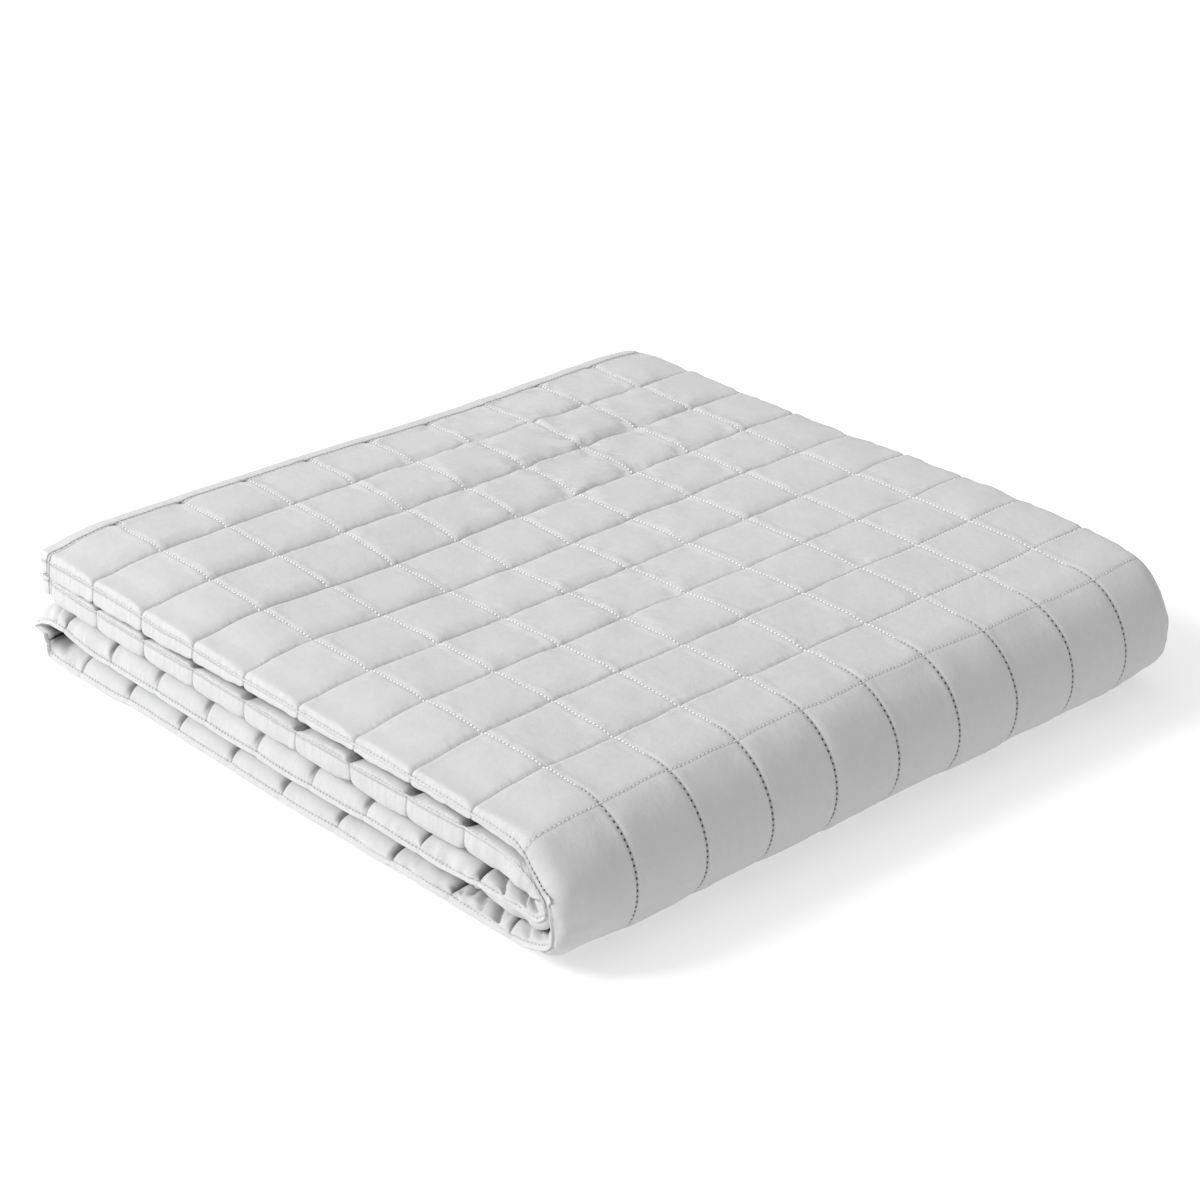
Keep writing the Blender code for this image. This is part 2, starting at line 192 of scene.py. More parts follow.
# Single creases in the edge squares of the two lower plies. Column s: where
# each meets the hem; lean: how it slants; start and stop: how far in it runs;
# depth, width and spread: its deepest, its steep side and its slow side.
CREASES = (
    {"s": 10.42, "lean": 0.2, "start": 0.03, "stop": 0.36, "depth": 0.050, "width": 0.022, "spread": 0.05},
    {"s": 10.56, "lean": 0.3, "start": 0.04, "stop": 0.34, "depth": 0.045, "width": 0.022, "spread": 0.05},
    {"s": 10.74, "lean": 0.4, "start": 0.02, "stop": 0.22, "depth": 0.040, "width": 0.022, "spread": 0.05},
    {"s": 11.14, "lean": 0.6, "start": 0.03, "stop": 0.38, "depth": 0.075, "width": 0.024, "spread": 0.09},
    {"s": 11.31, "lean": 0.1, "start": 0.12, "stop": 0.40, "depth": 0.035, "width": 0.024, "spread": 0.06},
    {"s": 11.43, "lean": 0.5, "start": 0.03, "stop": 0.24, "depth": 0.030, "width": 0.022, "spread": 0.05},
    {"s": 11.52, "lean": 0.2, "start": 0.10, "stop": 0.42, "depth": 0.045, "width": 0.024, "spread": 0.07},
    {"s": 11.70, "lean": 0.1, "start": 0.12, "stop": 0.42, "depth": 0.050, "width": 0.026, "spread": 0.07},
    {"s": 11.82, "lean": 0.3, "start": 0.04, "stop": 0.22, "depth": 0.025, "width": 0.022, "spread": 0.05},
    {"s": 12.22, "lean": 0.2, "start": 0.16, "stop": 0.44, "depth": 0.030, "width": 0.035, "spread": 0.09},
    {"s": 12.55, "lean": 0.2, "start": 0.06, "stop": 0.42, "depth": 0.020, "width": 0.035, "spread": 0.09},
    {"s": 19.40, "lean": 0.2, "start": 0.05, "stop": 0.40, "depth": 0.035, "width": 0.035, "spread": 0.09},
    {"s": 20.30, "lean": -0.2, "start": 0.00, "stop": 0.34, "depth": 0.045, "width": 0.026, "spread": 0.06},
    {"s": 20.47, "lean": -0.3, "start": 0.00, "stop": 0.36, "depth": 0.045, "width": 0.026, "spread": 0.06},
    {"s": 20.86, "lean": -0.2, "start": 0.10, "stop": 0.42, "depth": 0.035, "width": 0.035, "spread": 0.08},
    {"s": 28.16, "lean": -0.2, "start": 0.14, "stop": 0.42, "depth": 0.022, "width": 0.035, "spread": 0.09},
    {"s": 28.96, "lean": -0.7, "start": 0.03, "stop": 0.38, "depth": 0.080, "width": 0.024, "spread": 0.09},
    {"s": 29.08, "lean": -0.2, "start": 0.14, "stop": 0.42, "depth": 0.045, "width": 0.024, "spread": 0.07},
    {"s": 29.26, "lean": -0.6, "start": 0.04, "stop": 0.34, "depth": 0.060, "width": 0.024, "spread": 0.07},
    {"s": 29.42, "lean": -0.3, "start": 0.02, "stop": 0.24, "depth": 0.060, "width": 0.022, "spread": 0.05},
)


def creases(s, near):
    """How deep the single creases cut, at length s and this far in."""
    deep = np.zeros_like(s)
    for c in CREASES:
        way = -1.0 if c["s"] < 20.0 else 1.0
        d = (s - c["s"] - c["lean"] * near) * way
        cut = np.where(d < 0.0, np.exp(np.minimum(d, 0.0) / c["spread"]), np.exp(-(d / c["width"]) ** 2))
        part = smooth((near - c["start"]) / 0.05) * smooth((c["stop"] - near) / 0.10)
        deep = np.maximum(deep, c["depth"] * cut * part)
    return deep


# Where the hem is gathered: short upright wrinkles from the stitches inward.
GATHERS = {
    "q": (0, 8.6, 9.1, 10.2, 11.0, 13.4, 14.6, 19.0, 19.7, 20.8, 22.0, 26.5, 28.0, 30.0, 30.8, 39),
    "size": (0.006, 0.006, 0.006, 0.010, 0.026, 0.018, 0.009, 0.009, 0.020, 0.020, 0.009, 0.009, 0.022, 0.022, 0.009, 0.007),
}
# The swell between seams: flat is how flat the middle is, steep how steep the
# sides, across and along how deep the seams of each kind lie. Round the big
# fold the seams are narrow grooves.
SWELL = {
    "q": (0.0, 3.0, 8.2, 9.0, 11.0, 11.6, 39.0),
    "flat": (8.0, 9.0, 11.0, 16.0, 16.0, 3.0, 3.0),
    "steep": (0.50, 0.50, 0.50, 0.50, 0.50, 0.50, 0.50),
    "across": (0.24, 0.20, 0.13, 0.22, 0.22, 1.0, 1.0),
    "along": (1.05, 1.0, 0.60, 0.05, 0.10, 1.0, 1.0),
}
SLUMP = 0.08           # the stack is this much lower along its near open edge
FAR_LIFT = 0.06        # the top ply's far hem lies this much higher
SLUMP_REACH = 1.15


# ------------------------------------------------------------------ helpers
def smooth(t):
    t = np.clip(t, 0.0, 1.0)
    return t * t * (3.0 - 2.0 * t)


def lattice_noise(x, y, seed):
    """Smooth noise in -1..1 with features about one unit across."""
    rng = np.random.RandomState(seed)
    table = rng.uniform(-1.0, 1.0, (64, 64))
    xi, yi = np.floor(x).astype(int), np.floor(y).astype(int)
    fx, fy = smooth(x - xi), smooth(y - yi)
    a = table[xi % 64, yi % 64]
    b = table[(xi + 1) % 64, yi % 64]
    c = table[xi % 64, (yi + 1) % 64]
    d = table[(xi + 1) % 64, (yi + 1) % 64]
    return (a * (1 - fx) + b * fx) * (1 - fy) + (c * (1 - fx) + d * fx) * fy


def mesh_object(name, points, faces):
    mesh = bpy.data.meshes.new(name)
    mesh.from_pydata(points.tolist(), [], faces)
    mesh.update()
    obj = bpy.data.objects.new(name, mesh)
    bpy.context.scene.collection.objects.link(obj)
    return obj


# ------------------------------------------------------------------ the section
def section():
    t, n, h, b = PLY_Z["top"], PLY_Z["second"], PLY_Z["third"], PLY_Z["bottom"]
    runs = [
        ("line", 0.0, t, RIGHT_OUTER_X - 0.0, 1.0, 0.0),
        ("fold", RIGHT_OUTER_X, (t + b) / 2, (t - b) / 2, 90.0, -180.0),
        ("line", RIGHT_OUTER_X, b, RIGHT_OUTER_X - LEFT_X, -1.0, 0.0),
        ("fold", LEFT_X, (h + b) / 2, (h - b) / 2, -90.0, -180.0),
        ("line", LEFT_X, h, RIGHT_INNER_X - LEFT_X, 1.0, 0.0),
        ("fold", RIGHT_INNER_X, (n + h) / 2, (n - h) / 2, -90.0, 180.0),
    ]
    out, at = [], 0.0
    for kind, x, z, size, a, turn in runs:
        length = size if kind == "line" else math.radians(abs(turn)) * size
        out.append((at, length, kind, x, z, size, a, turn))
        at += length
    rest = LONG * ALONG - at
    out.append((at, rest, "line", RIGHT_INNER_X, n, rest, -1.0, 0.0))
    return out


RUNS = section()
LENGTH = LONG * ALONG


def on_path(s):
    """x, z and the upper face's normal (nx, nz) of the middle line at s."""
    x, z = np.zeros_like(s), np.zeros_like(s)
    nx, nz = np.zeros_like(s), np.zeros_like(s)
    for k, (start, length, kind, px, pz, size, a, turn) in enumerate(RUNS):
        last = k == len(RUNS) - 1
        m = (s >= start) & ((s <= start + length) if last else (s < start + length))
        q = s[m] - start
        if kind == "line":
            x[m], z[m], nx[m], nz[m] = px + a * q, pz, 0.0, a
        else:
            angle = np.radians(a + turn * q / length)
            out = 1.0 if turn < 0 else -1.0
            x[m], z[m] = px + size * np.cos(angle), pz + size * np.sin(angle)
            nx[m], nz[m] = out * np.cos(angle), out * np.sin(angle)
    end_x = RIGHT_INNER_X - RUNS[-1][1]
    for m, past, ex, ez, up in (
        (s < 0.0, -s, 0.0, PLY_Z["top"], 1.0),
        (s > LENGTH, s - LENGTH, end_x, PLY_Z["second"], -1.0),
    ):
        bend = past[m] / DROOP_RADIUS
        x[m] = ex - DROOP_RADIUS * np.sin(bend)
        z[m] = ez - DROOP_RADIUS * (1.0 - np.cos(bend))
        nx[m], nz[m] = -np.sin(bend) * up, np.cos(bend) * up
    return x, z, nx, nz


def settle(x, y, z):
    """The uneven lie of the whole stack: swells above, flat on the floor."""
    lift = np.zeros_like(x)
    for w in SWELLS:
        lift += w["height"] * np.exp(-(((x - w["x"]) / w["reach_x"]) ** 2 + ((y - w["y"]) / w["reach_y"]) ** 2))
    lean = FOLD_LEAN["amount"] * smooth((y - FOLD_LEAN["from_y"]) / (FOLD_LEAN["to_y"] - FOLD_LEAN["from_y"]))
    middle = (PLY_Z["top"] + PLY_Z["bottom"]) / 2
    sag = smooth((x - FOLD_SAG["from_x"]) / (FOLD_SAG["to_x"] - FOLD_SAG["from_x"])) * FOLD_SAG["slope"]
    x = x + lean * smooth((x - 7.5) / 1.5) - sag * (z - middle)
    return x, y, z * (1.0 + lift / STACK)


# ------------------------------------------------------------------ the quilting
def swell(t, n=2.4, m=0.60):
    """How full a square is at share t of the way between two seams."""
    return np.power(np.clip(1.0 - np.abs(2.0 * t - 1.0) ** n, 0.0, 1.0), m)


def tight(t):
    return swell(t, 4.0, 0.385)


PUCKERS = None     # set once the cloth has been simulated: (field, divisions)


def puckers(u, v):
    if PUCKERS is None:
        return np.zeros_like(u)
    field, d = PUCKERS
    nx, ny = field.shape
    a = np.mod(u, (nx - 1) / d) * d
    b = np.clip(v, 0.0, (ny - 1) / d) * d
    i, j = np.minimum(a.astype(int), nx - 2), np.minimum(b.astype(int), ny - 2)
    fa, fb = a - i, b - j
    return (field[i, j] * (1 - fa) + field[i + 1, j] * fa) * (1 - fb) + (field[i, j + 1] * (1 - fa) + field[i + 1, j + 1] * fa) * fb


def strip_lengths(u, v):
    """Arc length of seam count u: uneven seams, each a little wavy."""
    drift = np.interp(u, SEAM_DRIFT["u"], SEAM_DRIFT["shift"])
    wave = 0.018 * lattice_noise(np.round(u) * 7.3 + 0.5, v * 1.15 + 3.0, 11) + 0.012 * lattice_noise(u * 0.9, v * 2.3, 12)
    inside = (u > 0.0) & (u < LONG)
    s = u * ALONG + np.where(inside, drift + wave * smooth(np.minimum(u, LONG - u) * 2.0), 0.0)
    s = np.where(u < 0.0, u, s)
    return np.where(u > LONG, LENGTH + (u - LONG), s)


def strip_widths(u, v):
    wave = 0.011 * lattice_noise(u * 1.15 + 9.0, np.round(v) * 5.7 + 0.5, 13) + 0.009 * lattice_noise(u * 2.3, v * 0.9, 14)
    return v + wave * smooth(np.minimum(v, WIDE - v) * 1.5)


def faces_down(q, side):
    """1 where this face of the strip looks down, 0 where it looks up."""
    upper = ((q < 9.7) | ((q > 20.2) & (q < 29.8))).astype(float)
    return np.where(side > 0, 1.0 - upper, upper)


def relief(side, u, v):
    """Half thickness of the strip on one side at (u, v)."""
    crowns = CROWNS_UPPER if side > 0 else CROWNS_LOWER
    q = strip_lengths(u, v) / ALONG
    crown = np.interp(q, crowns["q"], crowns["half"])
    i, j = np.clip(np.floor(u), 0, LONG - 1), np.clip(np.floor(v), 0, WIDE - 1)
    tu, tv = between(u), np.clip(v - j, 0.0, 1.0)
    i = np.where(i == LONG_CELL, i - 1, i)
    near = np.minimum(v, WIDE - v)
    rim = smooth(1.0 - near / 0.5)
    down = faces_down(q, side)
    edge_crown = np.where(down > 0.5, np.interp(q, EDGE_SET["q"], EDGE_SET["below"]), np.interp(q, EDGE_SET["q"], EDGE_SET["above"]))
    n = np.interp(q, SWELL["q"], SWELL["flat"])
    m = np.interp(q, SWELL["q"], SWELL["steep"])
    pv, pu = swell(tv, n, m), swell(tu, n, m)
    # on top each square stands up steeply on one side and runs out slowly on the other
    top = (1.0 - smooth((q - 8.0) / 0.9)) * (side > 0)
    pu = pu + (np.where(tu > 0.5, swell(tu, 4.4, 0.62), swell(tu, 9.0, 0.36)) - pu) * top
    # at the side edges the square is full right to the stitching
    flap = (np.interp(q, EDGE_SET["q"], EDGE_SET["lip"]) > 0.03) & (down > 0.5)
    reach = np.where(down > 0.5, np.interp(q, EDGE_SET["q"], EDGE_SET["drop"]), np.interp(q, EDGE_SET["q"], EDGE_SET["rise"]))
    power = np.where(down > 0.5, 2.5, np.interp(q, EDGE_SET["q"], EDGE_SET["power"]))
    share = np.clip(near / reach, 0.0, 1.0)
    pv = np.where(near < 0.5, np.where(flap, share, 1.0 - (1.0 - share) ** power), pv)
    seam = np.where(near < 0.5, hem_half(q) + (SEAM - hem_half(q)) * smooth(near / 0.3), SEAM)
    deep = np.where(down > 0.5, np.interp(q, EDGE_SET["q"], EDGE_SET["nip"]), np.interp(q, EDGE_SET["q"], EDGE_SET["pinch"]))
    deep = np.where((v > WIDE / 2) & (side > 0) & (q < 9.0), 0.20, deep)
    # the notch at a cross seam opens upward, and more on its right-hand side
    right = np.where((q > 9.7) & (q < 20.0), 1.0 - tu, tu)
    wide = smooth((right - 0.68) / 0.18) * smooth(near / 0.12)
    notch = swell(tu, 6.0, 0.36) + (swell(tu, 4.4, 0.66) - swell(tu, 6.0, 0.36)) * wide
    lower = smooth((q - 10.2) / 0.6)
    pu = pu + (notch - pu) * rim * np.maximum(lower, (down > 0.5).astype(float))
    across = np.interp(q, SWELL["q"], SWELL["across"]) * smooth(np.minimum(u, LONG - u) / 0.35)
    across = np.where(near < 0.5, 1.0, across)
    calm = 1.0 - 0.55 * top * smooth((v - 3.5) / 4.5) * smooth((q - 3.0) / 4.0)
    along = np.interp(q, SWELL["q"], SWELL["along"]) * calm * (1.0 - rim) + rim * np.where(q < 9.0, deep, deep * np.interp(q, SWELL["q"], SWELL["along"]))
    along = np.where((u < 0.5) | (u > LONG - 0.5), 0.25, along)
    full = (1.0 - along * (1.0 - pu)) * (1.0 - across * (1.0 - pv))
    rng = np.random.RandomState(21 if side > 0 else 22)
    fullness = 1.0 + 0.14 * (rng.rand(LONG, WIDE) - 0.5)
    tilt_u = 0.04 * (rng.rand(LONG, WIDE) - 0.5)
    tilt_v = 0.04 * (rng.rand(LONG, WIDE) - 0.5)
    ii, jj = i.astype(int), j.astype(int)
    # neighbouring squares meet at one height along their seam
    apart = smooth(np.minimum(tv, 1.0 - tv) / 0.15) * smooth(np.minimum(tu, 1.0 - tu) / 0.15)
    lumps = 0.007 * lattice_noise(u * 3.1, v * 3.1, 31 + side) + 0.004 * lattice_noise(u * 6.7, v * 6.7, 33 + side)
    rise = (crown + (edge_crown - crown) * rim) * (1.0 + (fullness[ii, jj] - 1.0) * (1.0 - rim) * apart) - seam
    rise = rise + ((tilt_u[ii, jj] * (tu - 0.5) + tilt_v[ii, jj] * (tv - 0.5)) * apart + lumps) * (1.0 - 0.7 * rim)
    half = seam + rise * full
    away = 5.0 if side < 0 else 0.0
    half = half + pucker_share(q, v, side) * puckers(u + away, v)
    half = half + gathers(q, near, side) * smooth((near - 0.05) / 0.2)
    return np.maximum(half - 1.25 * creases(q * ALONG, near) * (down < 0.5) * (q > 10.2), np.minimum(half, 0.012))


def between(u):
    """Share of the way from one cross seam to the next."""
    t = np.clip(u - np.clip(np.floor(u), 0, LONG - 1), 0.0, 1.0)
    t = np.where((u >= LONG_CELL - 0.5) & (u <= LONG_CELL + 0.5), 0.5, t)
    return t


def hem_half(q):
    return np.interp(q, EDGE_SET["q"], EDGE_SET["half"])


def gathers(q, near, side):
    size = np.interp(q, GATHERS["q"], GATHERS["size"])
    bend = 0.25 * near
    ridges = lattice_noise((q + bend) * 5.3, near * 1.3 + side, 51) + 0.6 * lattice_noise((q - bend) * 10.1, near * 1.8 + side, 52)
    fade = smooth(near / 0.03) * (1.0 - smooth((near - 0.05) / 0.40))
    return size * ridges * fade * 1.8


def pucker_share(q, v, side):
    """How much gathered cloth shows: most at the far left of the top."""
    left = busy(q, v)
    top = PUCKERS_TOP["calm"] + (PUCKERS_TOP["busy"] - PUCKERS_TOP["calm"]) * left
    share = np.where((side > 0) & (q < 8.8), top, 0.5)
    return np.where((side > 0) & (q >= 8.8) & (q < 11.2), 0.18, share)


def busy(q, v):
    """Where the top is most gathered: its far left, and a patch mid-way."""
    return np.exp(-(((q - 1.8) / 2.0) ** 2 + ((v - 7.0) / 2.2) ** 2)) + 0.6 * np.exp(-(((q - 5.3) / 1.2) ** 2 + ((v - 4.2) / 1.5) ** 2))


PUCKERS_TOP = {"calm": 0.35, "busy": 1.35}


def strip_point(side, u, v):
    """Points of one face (side 1 or -1) for arrays u, v, in squares."""
    uu, vv = np.clip(u, 0.0, LONG), np.clip(v, 0.0, WIDE)
    s = strip_lengths(u, vv)
    y = strip_widths(u, vv)
    x, z, nx, nz = on_path(s)
    at = np.clip(s, 0.0, LENGTH)
    q = at / ALONG
    near = np.clip(np.minimum(v, WIDE - v), 0.0, None)
    out_v = np.clip(np.maximum(-v, v - WIDE), 0.0, None)
    out_u = np.clip(np.maximum(-u, u - LONG), 0.0, None)

    half = relief(side, uu, vv)
    # the side hem: a thin lip outside its stitching
    lip = np.interp(q, EDGE_SET["q"], EDGE_SET["lip"]) * (out_v / LIP)
    half = np.where(near < 1e-6, hem_half(q) * np.sqrt(1.0 - (0.85 * out_v / LIP) ** 2), half)
    upright = np.interp(q, EDGE_SET["q"], EDGE_SET["wall"])
    inward = np.where(near < EDGE_ROUND, near * (1.0 - (near / EDGE_ROUND) ** 0.8), 0.0)
    shift = lip + inward * upright - hem_line(at, v, "inset") * np.clip(1.0 - near / 1.4, 0.0, 1.0) ** 1.5
    # the end hem: a soft roll past two rows of stitching, round at the corners
    t = np.clip(out_u / FLANGE, 0.0, 1.0)
    roll = np.sqrt(np.clip(1.0 - t ** 4.0, 0.0, 1.0)) * 0.94 + 0.06
    half = half * np.where(out_u > 0, roll, 1.0)
    from_end = np.where(u > LONG / 2, LONG - u, u)
    groove = np.exp(-(from_end / 0.012) ** 2) + np.exp(-((from_end + DOUBLE_ROW) / 0.012) ** 2)
    half = half - np.minimum(0.008, half * 0.3) * groove
    dimple = np.exp(-(from_end / 0.05) ** 2 - ((vv - np.round(vv)) / 0.045) ** 2) * (near > 0.5)
    half = half - 0.6 * half * dimple
    corner = np.clip((out_u - (FLANGE - CORNER)) / CORNER, 0.0, 1.0)
    shift = shift - CORNER * (1.0 - np.sqrt(1.0 - corner ** 2 * 0.999)) * np.clip(1.0 - near / 0.7, 0.0, 1.0) ** 1.5

    # the open edges hang: each ply's hem finds its own line
    hang = (1.0 - np.clip(near / np.interp(q, EDGE_SET["q"], EDGE_SET["reach"]), 0.0, 1.0)) ** 2
    ripple = 0.013 * lattice_noise(q * 2.1, v * 0.0 + 3.0 + (v > WIDE / 2) * 4.0, 41) * hang
    past = np.where(out_u > 0, on_path(np.where(u < 0, 0.0, LENGTH) + 0.0 * s)[1] - z, 0.0)
    near_side = v < WIDE / 2
    hem_z = np.where(near_side, hem_line(at, v, "z") / (1.0 - SLUMP), hem_line(at, v, "z") + FAR_LIFT * (q < 9.5))
    z = z + (hem_z - past - z) * hang + ripple
    z = z - 0.8 * lip
    z = z + 0.12 * np.exp(-((at - 10.5) / 0.5) ** 2) * np.clip(1.0 - near / 1.1, 0.0, 1.0) ** 1.5 * (1.0 - hang)
    x = x + hem_line(at, v, "dx") * (1.0 - np.clip(near / 0.6, 0.0, 1.0)) ** 2
    for point in LIP_POINTS:
        tip = np.exp(-((at - point["s"]) / point["width"]) ** 2) * (out_v / LIP + 0.35 * (1.0 - np.clip(near / 0.08, 0.0, 1.0))) * (v < WIDE / 2)
        x, z = x + point["out"] * tip, z + point["up"] * tip

    px, pz = x + side * half * nx, z + side * half * nz
    # the lower faces of the upper plies bulge out past the stitches
    down = faces_down(q, side)
    high = np.interp(q, (9.0, 10.4, 29.6, 30.4), (1.0, 0.0, 0.0, 1.0))
    tu = between(uu)
    round_out = np.sin(math.pi * np.clip(near / EDGE_ROUND, 0.0, 1.0) ** 0.85) * (0.8 + 0.2 * tight(tu)) * upright
    shift = shift + round_out * (0.055 * high * down + 0.012 * (1.0 - down)) + gathers(q, near, side) * (1.0 - smooth(near / 0.3))
    shift = shift + 0.022 * (tight(tu) - 0.7) * hang * (q > 10.8) - 0.6 * creases(at, near) * (down < 0.5) * (q > 10.2)
    y = y + np.where(v > WIDE / 2, shift, -shift)

    px, y, pz = settle(px, y, pz)
    g = np.clip(1.0 - near / SLUMP_REACH, 0.0, 1.0) ** 2 * near_side
    pz = pz * (1.0 - SLUMP * g)
    pz = np.maximum(pz, FLOOR_GAP)
    return np.stack([px, y, pz], -1)


def to_metres(p):
    return (p - np.array([MIDDLE_X, WIDE / 2, 0.0])) * CELL


# ------------------------------------------------------------------ the mesh
def shares(count):
    """Places between two seams, closer together near the seams."""
    t = np.linspace(0.0, 1.0, count + 1)
    return t + 0.55 * np.sin(2.0 * np.pi * t) / (2.0 * np.pi) * -1.0


END_LINES = (0.014, 0.0275, 0.041, 0.055, 0.069, 0.095, 0.140, 0.200, 0.260, 0.310, 0.345, 0.372, 0.390, 0.400)
FINE_LINES = (
    {"from": 8, "to": 9, "lines": 16}, {"from": 10, "to": 10, "lines": 34}, {"from": 11, "to": 11, "lines": 46},
    {"from": 12, "to": 13, "lines": 22}, {"from": 19, "to": 19, "lines": 22}, {"from": 20, "to": 20, "lines": 36},
    {"from": 21, "to": 21, "lines": 20}, {"from": 27, "to": 27, "lines": 20}, {"from": 28, "to": 28, "lines": 40},
    {"from": 29, "to": 29, "lines": 44}, {"from": 30, "to": 30, "lines": 20},
)


def u_lines():
    lines = [-x for x in reversed(END_LINES)]
    for i in range(LONG):
        count = 16 if i < 10 else 12
        for part in FINE_LINES:
            if part["from"] <= i <= part["to"]:
                count = part["lines"]
        lines += [i + t for t in shares(count)[:-1]]
        if i == 0:
            lines.insert(-count + 1, 0.014)
    lines += [LONG - 0.014, float(LONG)]
    lines += [LONG + x for x in END_LINES]
    return np.array(sorted(lines))


RIM_LINES = (0.0, 0.008, 0.022, 0.042, 0.066, 0.094, 0.125, 0.160, 0.20, 0.25, 0.31, 0.39, 0.50)
FAR_RIM_LINES = (0.0, 0.022, 0.055, 0.094, 0.14, 0.20, 0.31, 0.50)


def v_lines(kind):
    """Places across the strip: "fine", or "plain" and "hidden" for what is
    seen less or not at all."""
    lines = [-LIP, -LIP * 0.5]
    for j in range(WIDE):
        t = {"fine": list(shares(15)[:-1]), "plain": [0.0, 0.1, 0.5, 0.9], "hidden": [0.0, 0.5]}[kind]
        if j == 0:
            t = list(RIM_LINES) + [x for x in t if x > 0.55]
        elif j == WIDE - 1:
            t = [x for x in t if x < 0.45] + [1.0 - x for x in FAR_RIM_LINES[:0:-1]]
        lines += [j + x for x in t]
    lines += [float(WIDE), WIDE + LIP * 0.5, WIDE + LIP]
    return np.array(lines)


def build_blanket():
    us, fine, plain, hidden = u_lines(), v_lines("fine"), v_lines("plain"), v_lines("hidden")
    verts, faces, flat_uv = [], [], []
    total = 0
    rows = {1: [], -1: []}
    for side in (1, -1):
        us_all, vs_all, counts = [], [], []
        for u in us:
            if side > 0:
                full = u <= 11.1 or u >= LONG - 0.001
            else:
                full = u <= 0.001 or u >= LONG - 0.001
            vs = fine if full else plain if side > 0 and u < 19.6 else hidden
            rows[side].append((total, vs))
            total += len(vs)
            us_all.append(np.full(len(vs), u))
            vs_all.append(vs)
        ua, va = np.concatenate(us_all), np.concatenate(vs_all)
        verts.append(strip_point(side, ua, va))
        flat_uv.append(np.stack([ua, va], -1))
    # one more row of points along the rim, between the two faces
    rims = {}
    for v_end, name in ((-LIP, "near"), (WIDE + LIP, "far")):
        out = -1.0 if name == "near" else 1.0
        a = strip_point(1, us, np.full(len(us), v_end))
        b = strip_point(-1, us, np.full(len(us), v_end))
        mid = (a + b) / 2
        mid[:, 1] += out * 0.35 * hem_half(us)
        rims[name] = total
        total += len(us)
        verts.append(mid)
        flat_uv.append(np.stack([us, np.full(len(us), v_end + out * 0.02)], -1))
    # and along the two ends
    ends = {}
    for k, out in ((0, -1.0), (len(us) - 1, 1.0)):
        a = verts[0][rows[1][k][0]: rows[1][k][0] + len(fine)]
        base = len(verts[0])
        b = verts[1][rows[-1][k][0] - base: rows[-1][k][0] - base + len(fine)]
        mid = (a + b) / 2
        mid[:, 0] -= 0.008
        ends[k] = total
        total += len(fine)
        verts.append(mid)
        flat_uv.append(np.stack([np.full(len(fine), us[k] + out * 0.02), fine], -1))

    def strip(first, second, flip):
        """Faces between two rows, each (start, places)."""
        (a, va), (b, vb) = first, second
        if len(va) == len(vb):
            for k in range(len(va) - 1):
                q = [a + k, b + k, b + k + 1, a + k + 1]
                faces.append(q[::-1] if flip else q)
            return
        p = q = 0
        while p < len(va) - 1 or q < len(vb) - 1:
            take_a = q == len(vb) - 1 or (p < len(va) - 1 and va[p + 1] <= vb[q + 1] + 1e-9)
            if take_a:
                t = [a + p, b + q, a + p + 1]
                p += 1
            else:
                t = [a + p, b + q, b + q + 1]
                q += 1
            faces.append(t[::-1] if flip else t)

    for side in (1, -1):
        for first, second in zip(rows[side], rows[side][1:]):
            strip(first, second, side < 0)
    n = len(us)
    for k in range(n - 1):
        for name in ("near", "far"):
            r0, r1 = rims[name] + k, rims[name] + k + 1
            pick = (lambda row: row[0]) if name == "near" else (lambda row: row[0] + len(row[1]) - 1)
            a0, a1 = pick(rows[1][k]), pick(rows[1][k + 1])
            b0, b1 = pick(rows[-1][k]), pick(rows[-1][k + 1])
            if name == "near":
                faces.append([a0, r0, r1, a1])
                faces.append([r0, b0, b1, r1])
            else:
                faces.append([a0, a1, r1, r0])
                faces.append([r0, r1, b1, b0])
    for k, flip in ((0, False), (n - 1, True)):
        a, b, r = rows[1][k][0], rows[-1][k][0], ends[k]
        m = len(fine)
        for q in range(m - 1):
            f1 = [a + q, a + q + 1, r + q + 1, r + q]
            f2 = [r + q, r + q + 1, b + q + 1, b + q]
            faces.append(f1[::-1] if flip else f1)
            faces.append(f2[::-1] if flip else f2)
        # close the two corners, where the rim row meets the end row
        for name, q in (("near", 0), ("far", m - 1)):
            rim = rims[name] + k
            tri = [[a + q, r + q, rim], [rim, r + q, b + q]]
            turned = flip != (name == "far")
            for f in tri:
                faces.append(f[::-1] if turned else f)
    points = to_metres(np.concatenate(verts))
    sides = np.concatenate([np.ones(len(verts[0])), -np.ones(len(verts[1])), np.zeros(total - len(verts[0]) - len(verts[1]))])
    return points, faces, np.concatenate(flat_uv), sides


